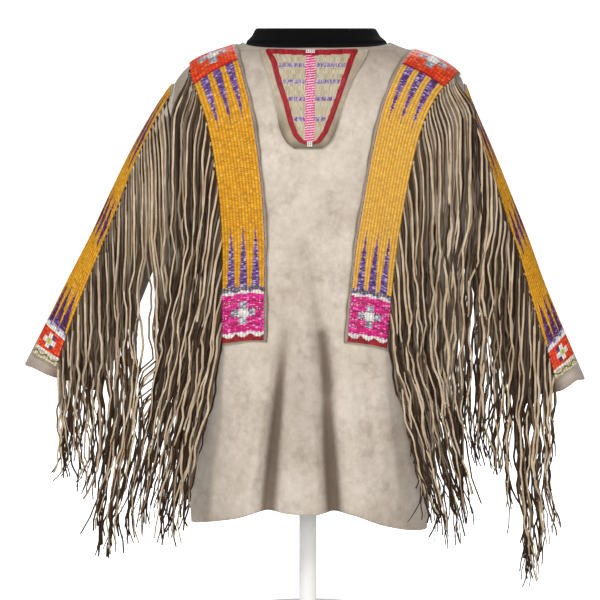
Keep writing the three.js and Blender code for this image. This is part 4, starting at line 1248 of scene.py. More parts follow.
class ShoulderRun:
    """The cloth under a shoulder strip, unrolled from the ridge down to the front and the back."""

    REACH = 600.0
    STEP = 1.5
    SQUARE = {Side.LEFT: 10.0, Side.RIGHT: -2.0}

    STRIPS = {
        Side.LEFT: Table(
            "s x half",
            (0, -150, 35), (50, -146, 34.5), (100, -135, 33.5), (160, -121, 33), (230, -110, 33),
            (310, -102, 33), (380, -99, 33), (512, -100, 33),
        ),
        Side.RIGHT: Table(
            "s x half",
            (0, 203, 35), (50, 188, 33), (100, 166, 32), (160, 145, 31), (230, 129, 30.5),
            (310, 115, 30.5), (400, 102, 31), (532, 90, 31),
        ),
    }

    def __init__(self, side: Side, shape: BodyShape) -> None:
        """Walks down the cloth from the ridge at each x that a strip or its fringe may have."""
        self.side = side
        self.strip = self.STRIPS[side]
        low, high = (-196.0, -50.0) if side is Side.LEFT else (44.0, 241.9)
        self.x = np.arange(low, high, 1.5)
        self.s = np.arange(0, self.REACH, self.STEP)
        below, above = np.full_like(self.x, SHOULDER_TIP - 20), np.full_like(self.x, NECKLINE + 10)
        for _ in range(40):
            z = (below + above) / 2
            outside = BODY.read(side.word, z) > np.abs(self.x)
            below, above = np.where(outside, z, below), np.where(outside, above, z)
        halves = {face: self.walk(face, shape, below) for face in Face}
        self.sheet = np.concatenate([halves[Face.FRONT][:, :0:-1], halves[Face.BACK]], 1)

    def walk(self, face: Face, shape: BodyShape, ridge: Array) -> Array:
        """Returns y and z at each x and distance from the ridge, on one face."""
        steps = np.linspace(0, 1, 420) ** 2.2
        foot = 320.0
        z = mix(ridge[:, None], foot, steps[None, :])
        x = np.broadcast_to(self.x[:, None], z.shape)
        points, _ = shape.cloth(face, x, z)
        y = points[..., 1]
        y[:, 0] = 0
        walked = np.hypot(np.diff(y, axis=1), np.diff(z, axis=1)).cumsum(1)
        walked = np.concatenate([np.zeros((len(z), 1)), walked], 1)
        both = [[np.interp(self.s, w, row) for w, row in zip(walked, rows)] for rows in (y, z)]
        return np.stack(both, -1)

    def on_sheet(self, s: Array, x: Array) -> Array:
        """Returns the points at signed distances from the ridge, negative at the front, and at x."""
        row = np.clip((x - self.x[0]) / (self.x[1] - self.x[0]), 0, len(self.x) - 1.001)
        column = np.clip(s / self.STEP + len(self.s) - 1, 0, self.sheet.shape[1] - 1.001)
        i, j = row.astype(int), column.astype(int)
        u, v = (row - i)[..., None], (column - j)[..., None]
        low = mix(self.sheet[i, j], self.sheet[i, j + 1], v)
        high = mix(self.sheet[i + 1, j], self.sheet[i + 1, j + 1], v)
        return np.concatenate([x[..., None], mix(low, high, u)], -1)

    def place(self, s: Array, x: Array, lift: float | Array) -> Array:
        """Returns the points at s and x, lifted off the cloth."""
        step = 2.0
        down = self.on_sheet(s + step, x) - self.on_sheet(s - step, x)
        across = self.on_sheet(s, x + step) - self.on_sheet(s, x - step)
        normal = unit(np.cross(across, down))
        return self.on_sheet(s, x) + normal * np.asarray(lift)[..., None]

    def across(self, s: Array, share: Array, lift: float | Array) -> Array:
        """Returns the strip's points, whose rows lie square to its lower part."""
        turned = s + np.sign(s) * self.SQUARE[self.side] * share * ease((np.abs(s) - 90) / 260)
        return self.place(turned, self.middle(s) + self.half(s) * share, lift)

    def middle(self, s: Array) -> Array:
        """Returns the x of the strip's middle."""
        return self.strip.read("x", np.abs(s))

    def half(self, s: Array) -> Array:
        """Returns half of the strip's width."""
        return self.strip.read("half", np.abs(s))


@dataclass
class ShoulderStrip:
    """A quilled strip from the front over the shoulder to the back, with its pattern."""

    run: ShoulderRun
    end: float  # the strip's length from the ridge down, alike at front and back
    cut: Cut
    ribs: int = 14
    lanes: int = 7
    box_start: float = 14.0
    box_end: float = 73.0
    band: float = 10.5
    spear: float = 95.0
    shoulder_box: tuple[float, float] = (-76.0, 10.0)

    def build(self, finishes: Finishes) -> tuple[Object, Object]:
        """Returns the quilled layer and its hide base."""
        side, run, end = self.run.side, self.run, self.end
        low, high = (end + s for s in self.shoulder_box)
        strip = Strip(
            f"shoulder_strip_{side.word}",
            lambda a, share, lift: run.across(a - end, share, lift),
            2 * end,
            lambda a: run.half(a - end),
            -side.value,
            self.ribs,
            boxes=(
                (self.box_start, self.box_end, BOX_ROWS),
                (low, high, BOX_ROWS),
                (2 * end - self.box_end, 2 * end - self.box_start, BOX_ROWS),
            ),
            # The right strip's yellow is painted lighter, for its stronger light and sheen.
            bleached=0.26 if side is Side.RIGHT else 0.0,
        )
        return strip.build(self.kinds(strip), finishes, 11 + side.value)

    def kinds(self, strip: Strip) -> Array:
        """Returns the dye of each quill."""
        along, share = strip.quills()
        wobble = 1.2 * np.sin(share * 9 + 1.0) + 0.8 * np.sin(share * 23)
        from_end = np.minimum(along, 2 * self.end - along) + 0.5 * wobble
        from_ridge = along - self.end
        lanes = [2 * (k + 0.5) / self.lanes - 1 for k in range(1, self.lanes, 2)]
        pattern = Pattern(share, Dye.YELLOW)
        pattern.box(from_end, (self.box_start, self.box_end), Dye.MAGENTA, (0.18, 0.58))
        seam = BOX_ROWS * (from_end - self.box_start) / (self.box_end - self.box_start)
        lines = np.abs(seam - np.round(seam)) < 0.08
        boxed = (from_end > self.box_start + 3) & (from_end < self.box_end - 3) & (np.abs(share) > 0.22)
        pattern.lay(boxed & lines, Dye.WINE)
        pattern.lay(boxed & lines & (np.sin(share * 61 + from_end) > 0.92), Dye.BLUSH)
        pattern.lay(from_end < self.box_start, Dye.WHITE)
        pattern.lay(from_end < self.box_start - 2.6 - 5.0 * scallop(share, 3), Dye.RED)
        crest = self.box_end + 1.2 + 4.2 * scallop(share, 3)
        band = (from_end >= self.box_end) & (from_end < self.box_end + self.band)
        pattern.lay(band, Dye.DARK)
        pattern.lay(band & (np.sin(share * 37) > 0.2), Dye.LAVENDER)
        pattern.lay((from_end >= self.box_end) & (from_end < crest), Dye.WHITE)
        base = self.box_end + self.band
        low, high = self.shoulder_box
        pattern.spears(from_end, (base, base + self.spear), lanes, 0.19)
        pattern.spears(-from_ridge, (-low, -low + 100), lanes, 0.185)
        pattern.spears(from_ridge, (high, high + 84), lanes, 0.165)
        pattern.box(from_ridge + 0.6 * wobble, (low, high), Dye.ORANGE, (0.19, 0.6))
        rim = np.minimum(from_ridge - low, high - from_ridge)
        pattern.lay((rim > 0) & (rim < 2.6), Dye.RED)
        pattern.lay(-self.run.side.value * share > 0.965, Dye.LAVENDER)
        return pattern.kinds


@dataclass
class SleeveStrip:
    """A quilled strip down the outside of a sleeve, with its pattern."""

    shape: SleeveShape
    cut: Cut
    ribs: int = 10
    box: tuple[float, float] = (14.0, 46.0)
    cell: float = 7.4  # side of one patch of the box's cross

    EDGES = Table(
        "t low high",
        (0.02, -10, 27), (0.2, -2, 38), (0.4, 9, 50), (0.6, 15, 58), (0.8, 20, 68), (0.955, 25, 77),
    )

    def __post_init__(self) -> None:
        """Measures the strip's middle line, from the cuff end up."""
        self.t = np.linspace(0.955, 0.02, 400)
        line = self.shape.point(self.t, self.angle(self.t, 0.0))
        steps = np.linalg.norm(np.diff(line, axis=0), axis=1)
        self.walked = np.concatenate([[0], steps.cumsum()])

    def angle(self, t: Array, share: Array | float) -> Array:
        """Returns the sleeve's angle at t and a share across."""
        edges = self.EDGES.all(t)
        return np.radians(mix(edges["low"], edges["high"], (share + 1) / 2))

    @property
    def length(self) -> float:
        """The strip's length."""
        return float(self.walked[-1])

    def t_at(self, along: Array) -> Array:
        """Returns the sleeve's t at a distance along the strip from its cuff end."""
        slope = (self.t[1] - self.t[0]) / self.walked[1]
        inside = np.interp(along, self.walked, self.t)
        return inside + slope * np.minimum(along, 0) + slope * np.maximum(along - self.length, 0)

    def place(self, along: Array, share: Array, lift: float | Array) -> Array:
        """Returns the points at a distance along and a share across, -1 at the outer edge."""
        t = np.clip(self.t_at(along), 0.006, 1.0)
        angle = self.angle(t, share)
        lifted = self.shape.normal(t, angle) * (np.asarray(lift) + 0 * t)[..., None]
        return self.shape.point(t, angle) + lifted

    def half(self, along: Array) -> Array:
        """Returns half of the strip's width."""
        one = np.ones_like(along, dtype=float)
        return np.linalg.norm(self.place(along, one, 0.0) - self.place(along, -one, 0.0), axis=-1) / 2

    def build(self, finishes: Finishes) -> tuple[Object, Object]:
        """Returns the quilled layer and its hide base."""
        side = self.shape.side
        strip = Strip(
            f"sleeve_strip_{side.word}",
            self.place,
            self.length,
            self.half,
            -1,
            self.ribs,
            boxes=((*self.box, 3),),
        )
        return strip.build(self.kinds(strip), finishes, 31 + side.value)

    def kinds(self, strip: Strip) -> Array:
        """Returns the dye of each quill."""
        along, share = strip.quills()
        low, high = self.box
        lanes = (-0.58, 0.0, 0.58)
        pattern = Pattern(share, Dye.YELLOW)
        inside = (along >= low) & (along < high)
        pattern.lay(inside, Dye.ORANGE)
        down = np.abs(np.round((along - (low + high) / 2) / self.cell))
        aside = np.abs(np.round(share * self.half(along) / self.cell))
        pattern.lay(inside & (down + aside == 1), Dye.WHITE)
        pattern.lay(inside & (down + aside == 0), Dye.GREEN)
        near = (np.abs(share) * self.half(along) < 1.2 * self.cell) & (share > 0)
        pattern.lay(inside & near & (down == 1) & (aside == 1), Dye.MAROON)
        pattern.lay(inside & (np.abs(share) > 0.93), Dye.RED)
        pattern.lay(along < low, Dye.CREAM)
        wave = np.abs(along - 6.0 - 2.0 * np.sin(share * 8)) < 1.2
        pattern.lay(wave, Dye.DARK)
        pattern.lay((along < low) & (along > low - 3.2), Dye.WHITE)
        crest = high + 3.5 + 5.5 * scallop(share, 3)
        pattern.lay((along >= high) & (along < high + 12), Dye.LAVENDER)
        pattern.lay((along >= high) & (along < crest), Dye.WHITE)
        pattern.spears(along, (high + 12, high + 78), lanes, 0.27, Dye.MAROON)
        for ends in ((236, 284), (236, 200), (392, 470), (392, 326)):
            pattern.spears(along, ends, lanes, 0.21, Dye.MAROON)
        return pattern.kinds


# ---- The bib ----


@dataclass
class Bib:
    """The quilled hide flap at the neck: a U with a red border, dashed bars and a central lane."""

    shape: BodyShape
    cut: Cut
    top: float = 911.0
    border: float = 4.1  # half of the red border's width
    bars: tuple[float, ...] = (24.3, 48.9, 74.9, 105.5)
    bar_half: float = 3.4
    lane_half: float = 7.4

    OUTLINE = Table(
        "down middle half",
        (0, 10, 84), (12, 9, 80), (36, 6, 68), (66, 3, 57), (96, 1, 49), (122, 0, 43), (140, 0, 34),
        (150, 0, 22),
    )
    # The middle line of the red border: x and the distance down from the top edge.
    LINE = (
        (-60.9, 3.5), (-52.2, 20.0), (-43.5, 51.9), (-33.6, 81.4), (-26.2, 110.7), (-18.8, 130.3),
        (-8.9, 141.5), (2.0, 144.4), (14.0, 141.9), (25.6, 125.8), (35.5, 100.9), (47.9, 66.7),
        (59.0, 34.7), (68.8, 8.9), (72.0, 3.5), (3.4, 6.0), (-60.9, 3.5),
    )

    def build(self, finishes: Finishes) -> dict[str, Object]:
        """Returns the hide flap, its quilled panel and its beads."""
        hide = self.flap(finishes.bib_hide)
        return {"hide": hide, "quills": self.panel(finishes.quill), "beads": self.beads(finishes.bead)}

    def lift(self, down: Array, x: Array, height: float | Array) -> Array:
        """Returns the points on the shirt's front at x and down, lifted off it."""
        return self.shape.lifted(Face.FRONT, x, self.top - down, height)

    def flap(self, finish: Material) -> Object:
        """Returns the hide flap, whose lower edge lifts a little off the shirt, with painted shadow along its
        lower sides.
        """
        down, share = np.meshgrid(np.linspace(0, 150, 90), np.linspace(-1, 1, 81), indexing="ij")
        x = self.OUTLINE.read("middle", down) + self.OUTLINE.read("half", down) * share
        edge = np.minimum(1 - np.abs(share), (150 - down) / 60)
        curl = 1.1 * bump_at(edge / 0.09) * ease((down - 60) / 60)
        round_edge = 0.7 * bump_at(edge / 0.02)
        outer = self.lift(down, x, LIE + 1.2 + curl - round_edge)
        inner = self.lift(down, x, LIE + curl)
        made = make_object("bib_flap", *slab(outer, inner), finish)
        # Painted shadow along the lower edges of the flap, over a slight darkening everywhere.
        soil = 0.2 + 0.8 * ease(1 - edge / 0.34) * ease((down - 80) / 50)
        mark_points(made, "Soil", soil, soil)
        return made

    def panel(self, finish: Material) -> Object:
        """Returns the quilled panel inside the border's outer edge."""
        line = np.array(self.LINE)
        left, right = line[:8], line[14:6:-1]
        down, share = np.meshgrid(np.linspace(0.4, 147.4, 216), np.linspace(-1, 1, 97), indexing="ij")
        spread = self.border * 1.1
        low = np.interp(down, left[:, 1], left[:, 0] - spread)
        high = np.interp(down, right[:, 1], right[:, 0] + spread)
        round_off = np.sqrt(np.clip((147.5 - down) / 8, 0, 1))
        middle = (low + high) / 2
        x = middle + (high - low) / 2 * share * np.where(down > 139.5, 0.35 + 0.65 * round_off, 1)
        away = self.from_line(x, down)
        bar = np.min([np.abs(down - b) for b in self.bars], axis=0)
        centre = np.abs(x - mix(4.0, 2.0, down / 150))
        height = 0.5 + 0.25 * np.sqrt(np.abs(np.sin(math.pi * down / 3.2)))
        height = np.where(bar < self.bar_half, 1.0, height)
        height = np.where(centre < self.lane_half, 1.15, height)
        rolled = 1.0 + 0.75 * np.sqrt(1 - np.clip(away / self.border, 0, 1) ** 2)
        height = np.where(away < self.border, rolled, height)
        outer, inner = self.lift(down, x, LIE + 1.2 + height), self.lift(down, x, LIE + 1.25)
        made = make_object("bib_quills", *slab(outer, inner[:, ::8]), finish)
        paint_faces(made, dye_colours(self.kinds(x, down), 61, tall=9), "#8c1a2c")
        places = np.stack([down, x], -1)
        places = np.where((centre < self.lane_half)[..., None], places[..., ::-1], places)
        unwrap(made, places, places[:, ::8])
        return made

    def from_line(self, x: Array, down: Array) -> Array:
        """Returns the distance from the middle line of the border."""
        lines = zip(self.LINE[:-1], self.LINE[1:])
        return np.min([along_line(x, down, start, end)[1] for start, end in lines], axis=0)

    def kinds(self, x: Array, down: Array) -> Array:
        """Returns the dye of each quill of the panel."""
        x, down = ((ends[1:, 1:] + ends[:-1, :-1]) / 2 for ends in (x, down))
        pattern = Pattern(x, Dye.NATURAL)
        bar = np.min([np.abs(down - b) for b in self.bars], axis=0)
        short = self.bar_half * (0.86 + 0.14 * np.sin(x * 1.7))
        off_edge = self.from_line(x, down) > self.border + 1.6
        pattern.lay((bar < short) & off_edge, Dye.LAVENDER)
        dashes = np.sin(x / 1.05 + 3 * np.sin(x / 9))
        pattern.lay((bar < short) & off_edge & (dashes > 0.86), Dye.NATURAL)
        pattern.lay((bar < short) & off_edge & (dashes < -0.55) & (down > 60), Dye.PURPLE)
        centre = np.abs(x - mix(4.0, 2.0, down / 150))
        pattern.lay(centre < self.lane_half, Dye.BLUSH)
        pattern.lay((centre < self.lane_half) & (np.sin(down * 1.7 + x * 0.2) > -0.3), Dye.PINK)
        pattern.lay(self.from_line(x, down) < self.border, Dye.RED)
        return pattern.kinds

    def beads(self, finish: Material) -> Object:
        """Returns the white beads at the top and the bottom of the central lane."""
        groups = [(3.4, 4.4, 5, 2), (2.2, 143.4, 3, 3)]
        size = 2.9
        spots = []
        for x, down, across, rows in groups:
            for i in range(across):
                for j in range(rows):
                    spots.append((x + (i - (across - 1) / 2) * size, down + (j - (rows - 1) / 2) * size))
        xs, downs = np.array(spots).T
        points = self.lift(downs, xs, LIE + 3.4)
        made = make_object("bib_beads", points, [], finish)
        return bead_tree().run(made, Diameter=size * METRES, Material=finish)


# ---- Fringes ----


@dataclass
class Fringe:
    """A fringe of cut hide strands that hang from an edge in layers.

    The strands go from the innermost, nearest the shirt's middle, to the outermost.
    """

    name: str
    side: Side
    face: Face
    roots: Array  # where the strands leave the edge
    swing: Array  # how far each hangs outside its root
    lean: Array  # how much further out it ends
    tip_at: Callable[[Array], Array]
    uneven: float
    pitch: float  # least distance between two strands, over all layers
    seed: int
    parting: tuple[float, float] = (0.0, 0.0)  # the middle and half the width of a gap in the fringe
    width: float = 3.8
    thickness: float = 1.5
    layer_step: float = 1.5
    steps: int = 40

    LEVELS = np.arange(905.0, 55.0, -5.0)
    TONES = (0.97, 0.96, 0.97, 0.95, 0.92, 0.02)  # painted shade of each layer's strands where they lie packed, innermost first
    TONES_APART = (0.97, 0.3, 0.96, 0.15, 0.95, 0.0)  # and where the strands hang apart in the open
    TIP_FROM = 300.0  # the height at which a strand's place gives its tip
    LEAN_FROM = 450.0
    LEAN_OVER = 260.0
    PARTING_TO = 290.0
    CLUMP = (8, 24)  # fewest strands in a clump, and one more than the most
    CLUMP_FROM = 430.0
    CLUMP_OVER = 250.0

    def outwards(self, inside: Array | None = None) -> Array:
        """Returns each strand's distance from x = 0 at each level.

        Args:
            inside: The distances of the strands that already hang further in.

        Returns:
            Distances by strand and level.
        """
        z = self.LEVELS
        rows: list[Array] = []
        last = np.zeros_like(z) if inside is None else inside
        for i, root in enumerate(self.roots):
            own = abs(root[0]) + self.swing[i] * mix(0.6, 1.0, ease((z - 560) / 90))
            own = own + self.lean[i] * np.clip((self.LEAN_FROM - z) / self.LEAN_OVER, 0, 1)
            pushed = np.maximum(own, last + self.pitch)
            if i:
                inner = self.roots[i - 1]
                share = np.clip((root[2] - z) / max(root[2] - inner[2], 1e-3), 0, 1)
                near = mix(abs(root[0]), abs(inner[0]), share) + self.swing[i] + self.pitch * share
                above = (z > inner[2]) & (root[2] > inner[2])
                pushed = np.where(above, np.maximum(own, near), pushed)
            rows.append(pushed)
            last = pushed
        return self.clumped(self.parted(np.array(rows)))

    def clumped(self, outs: Array) -> Array:
        """Returns the distances with neighbouring strands drawn together towards their ends."""
        chance = np.random.default_rng(self.seed + 500)
        drawn = outs.copy()
        start, split = 0, int(np.searchsorted(outs[:, np.argmin(abs(self.LEVELS - 400))], self.parting[0]))
        while start < len(outs):
            end = min(len(outs), start + int(chance.integers(*self.CLUMP)))
            end = split if start < split < end else end
            middle = outs[start:end].mean(0)
            pull = chance.uniform(0.42, 0.74) * ease((self.CLUMP_FROM - self.LEVELS) / self.CLUMP_OVER)
            drawn[start:end] = mix(outs[start:end], middle, pull)
            start = end
        return drawn

    def parted(self, outs: Array) -> Array:
        """Returns the distances with those near the parting pushed aside, under the armpit."""
        middle, half = self.parting
        if not half:
            return outs
        share = ease((ARMPIT + 25 - self.LEVELS) / 60) * ease((self.LEVELS - self.PARTING_TO) / 90)
        off = outs - middle
        push = half * share * bump_at(off / (2.6 * half)) * np.where(off < 0, -1, 1)
        return outs + push

    def build(
        self, reach: Reach, finish: Material, tree: NodeTree, inside: Array | None = None
    ) -> tuple[Object, Array]:
        """Builds the fringe.

        Args:
            reach: How far the shirt stands out behind it.
            finish: The strands' material.
            tree: The strands' node tree.
            inside: The distances of the strands that already hang further in.

        Returns:
            The fringe and the distances of its outermost strand.
        """
        chance = np.random.default_rng(self.seed)
        outs = self.outwards(inside)
        lines, facing, breadth, shade = [], [], [], []
        for i, root in enumerate(self.roots):
            line = self.line(root, outs[i], reach, chance, i)
            share = np.linspace(0, 1, len(line))
            twist = chance.uniform(-0.45, 0.45) + chance.uniform(-1.0, 1.0) * share**1.3
            twist = twist + 0.3 * np.sin(share * chance.uniform(4, 9) + chance.uniform(0, 6))
            lines.append(line)
            facing.append(np.stack([np.sin(twist), self.face.value * np.cos(twist), 0 * twist], -1))
            slim = mix(1.0, chance.uniform(0.6, 0.85), ease((share - 0.7) / 0.3)) * chance.uniform(0.75, 1.2)
            breadth.append(np.where(share == 0, slim * 1.15, slim))
            # Painted shade: each strand is darkened by its layer, deep behind where the strands lie packed
            # and less where they hang apart; its tone also varies at random and darkens towards the tip.
            apart = np.interp(line[:, 2], self.LEVELS[::-1], (outs[i] - outs[max(i - 1, 0)])[::-1])
            layer = i % len(self.TONES)
            tone = mix(self.TONES[layer], self.TONES_APART[layer], ease((apart - 1.5) / 0.9))
            tone = tone + chance.normal(0, 0.13)
            tone = tone + 0.12 * np.sin(share * chance.uniform(5, 12) + chance.uniform(0, 6))
            tone = tone + 0.35 * ease((share - 0.86) / 0.14)
            shade.append(np.clip(tone, 0, 0.97))
        made = make_lines(self.name, lines, finish)
        mesh = made.data
        normals = mesh.attributes.new("Facing", "FLOAT_VECTOR", "POINT")
        normals.data.foreach_set("vector", np.concatenate(facing).astype(np.float32).ravel())
        mark_points(made, "Breadth", *breadth)
        mark_points(made, "Shade", *shade)
        tree.run(made, Width=self.width * METRES, Thickness=self.thickness * METRES, Material=finish)
        return made, outs[-1]

    def line(self, root: Array, out: Array, reach: Reach, chance: np.random.Generator, number: int) -> Array:
        """Returns one strand's line, from its root to its tip."""
        sign = self.side.value
        tip = float(self.tip_at(sign * np.interp(self.TIP_FROM, self.LEVELS[::-1], out[::-1])))
        tip += self.uneven * min(chance.exponential(1.1), 4.0) - 4
        share = np.linspace(0, 1, self.steps) ** 1.15
        z = mix(root[2], tip, share)
        x = np.interp(z, self.LEVELS[::-1], out[::-1])
        x = mix(abs(root[0]), x, ease(share / 0.1))
        depth = np.maximum.accumulate(reach.read(self.face, self.side, x, z))
        depth = np.maximum(depth, abs(root[1])) + 2.4
        depth = np.convolve(np.pad(depth, 1, mode="edge"), (0.25, 0.5, 0.25), mode="valid")
        depth = depth + self.layer_step * (number % len(self.TONES)) * ease(share / 0.1)
        depth = mix(abs(root[1]), depth, ease(share / 0.05))
        free = ease((share - 0.06) / 0.4)
        x = x + ease(share / 0.3) * chance.normal(0, 2.2)
        length = root[2] - tip
        for strength, wave in ((2.4, 170), (1.9, 82), (0.9, 36)):
            turn = chance.uniform(0, math.tau)
            stretched = wave * chance.uniform(0.8, 1.25)
            x = x + free * strength * np.sin(length * share / stretched * math.tau + turn)
            depth = depth + 0.6 * free * strength * np.cos(length * share / wave * math.tau + turn)
        loose = np.clip((share - 0.78) / 0.22, 0, 1) ** 2
        x = x + loose * chance.normal(0, 9.0)
        depth = depth + loose * abs(chance.normal(0, 5.0))
        return np.stack([sign * x, self.face.value * depth, z], -1)


class Reach:
    """How far the body and the sleeves stand out to the front and the back, on a grid of x and z."""

    STEP = 3.0

    def __init__(self, shape: BodyShape, sleeves: dict[Side, SleeveShape]) -> None:
        """Measures both faces on both sides."""
        self.x = np.arange(60.0, 470.0, self.STEP)
        self.z = np.arange(60.0, 930.0, self.STEP)
        x, z = np.meshgrid(self.x, self.z, indexing="ij")
        self.grids = {}
        for face in Face:
            for side in Side:
                place = (face, side.value * x, z)
                body, sleeve = self.of_body(shape, *place), self.of_sleeve(sleeves[side], *place)
                self.grids[(face, side)] = np.maximum(body, sleeve)

    @staticmethod
    def of_body(shape: BodyShape, face: Face, x: Array, z: Array) -> Array:
        """Returns the body's reach."""
        points, _ = shape.cloth(face, x, z)
        on_body = (np.abs(x) < shape.edge(face, x, z)) & (z < NECKLINE) & (z > 150)
        return np.where(on_body, np.abs(points[..., 1]), 0)

    @staticmethod
    def of_sleeve(sleeve: SleeveShape, face: Face, x: Array, z: Array) -> Array:
        """Returns the sleeve's reach, from its rings."""
        reach = np.zeros_like(x)
        for t in np.linspace(0.01, 1, 60):
            at = sleeve.rows.all(t)
            run = np.array([at["under_x"] - at["top_x"], at["under_z"] - at["top_z"]])
            share = ((x - at["top_x"]) * run[0] + (z - at["top_z"]) * run[1]) / (run @ run)
            aside = np.hypot(x - at["top_x"] - share * run[0], z - at["top_z"] - share * run[1])
            bulge = np.sqrt(np.clip(1 - (2 * share - 1) ** 2, 0, None))
            y = face.value * at["y"] + at[face.word] * bulge
            on_sleeve = (share >= 0) & (share <= 1) & (aside < 8)
            reach = np.where(on_sleeve, np.maximum(reach, y), reach)
        return reach

    def read(self, face: Face, side: Side, x: Array, z: Array) -> Array:
        """Returns the reach at distances x from the middle and heights z."""
        grid = self.grids[(face, side)]
        i = np.clip(np.round((x - self.x[0]) / self.STEP).astype(int), 0, len(self.x) - 1)
        j = np.clip(np.round((z - self.z[0]) / self.STEP).astype(int), 0, len(self.z) - 1)
        return grid[i, j]


TIPS = {
    Side.LEFT: Table(
        "x z",
        (-400, 250), (-356, 232), (-325, 212), (-302, 124), (-286, 122), (-255, 150), (-215, 178),
        (-197, 142), (-160, 182),
    ),
    Side.RIGHT: Table(
        "x z",
        (165, 180), (189, 138), (209, 156), (235, 199), (249, 268), (284, 259), (304, 246), (316, 134),
        (333, 76), (350, 100), (371, 177), (380, 290),
    ),
}


@dataclass
class ShirtFringes:
    """All six fringes: front and back of each shoulder strip, and each sleeve's."""

    runs: dict[Side, ShoulderRun]
    sleeves: dict[Side, SleeveShape]
    reach: Reach
    sleeve_strands: int = 96
    sleeve_packed: float = 122.0
    back_tips: float = 184.0

    STRANDS = {Face.FRONT: 82, Face.BACK: 58}
    PACKED = {Face.FRONT: 92.0, Face.BACK: 63.0}  # how far the strands reach side by side

    def shoulder(self, side: Side, face: Face) -> Fringe:
        """Returns the fringe of a shoulder strip's outer edge, front or back."""
        front = face is Face.FRONT
        run, count = self.runs[side], self.STRANDS[face]
        near_ridge = 1 - (1 - np.linspace(0, 1, count)) ** 1.3
        s = mix(506 if front else 484, 34, near_ridge)
        x = run.middle(s) + side.value * (run.half(s) + 0.4)
        roots = run.place(face.value * s, x, LIE + 1.2)
        share = np.linspace(0, 1, count)
        tips = TIPS[side]
        return Fringe(
            f"{face.word}_fringe_{side.word}_strands",
            side,
            face,
            roots,
            mix(2.0, 5.0, share) + (22.0 if side is Side.LEFT else 27.0) * share**4,
            mix(54.0 if front else 20.0, 2.0, share**0.7),
            (lambda at: tips.read("z", at)) if front else (lambda at: self.back_tips + 0 * at),
            33.0,
            self.PACKED[face] / count,
            (71 if front else 97) + side.value,
        )

    def sleeve(self, side: Side) -> Fringe:
        """Returns the fringe of a sleeve strip's lower edge."""
        shape, count = self.sleeves[side], self.sleeve_strands
        t = np.linspace(0.03, 0.938, count)
        angle = np.radians(SleeveStrip.EDGES.read("high", t)) + 0.012
        roots = shape.point(t, angle) + shape.normal(t, angle) * (LIE + 1.2)
        tips = TIPS[side]
        return Fringe(
            f"sleeve_fringe_{side.word}_strands",
            side,
            Face.FRONT,
            roots,
            -1 - 5 * np.maximum(0, 1 - np.arange(count) / (count * 8 / 29)),
            np.zeros(count),
            lambda at: tips.read("z", at),
            35.0,
            self.sleeve_packed / count,
            (41 if side is Side.LEFT else 53),
            (251.0, 9.0) if side is Side.LEFT else (256.0, 5.0),
        )

    def build(self, finish: Material) -> dict[str, Object]:
        """Returns the fringes by the names of the nodes that they stand for."""
        tree = strand_tree()
        made = {}
        for side in Side:
            front, outermost = self.shoulder(side, Face.FRONT).build(self.reach, finish, tree)
            back, _ = self.shoulder(side, Face.BACK).build(self.reach, finish, tree)
            sleeve, _ = self.sleeve(side).build(self.reach, finish, tree, outermost)
            for kind, piece in (("front", front), ("back", back), ("sleeve", sleeve)):
                made[f"{kind}_fringe_{side.word}"] = piece
        return made


# ---- The dress form and its stand ----


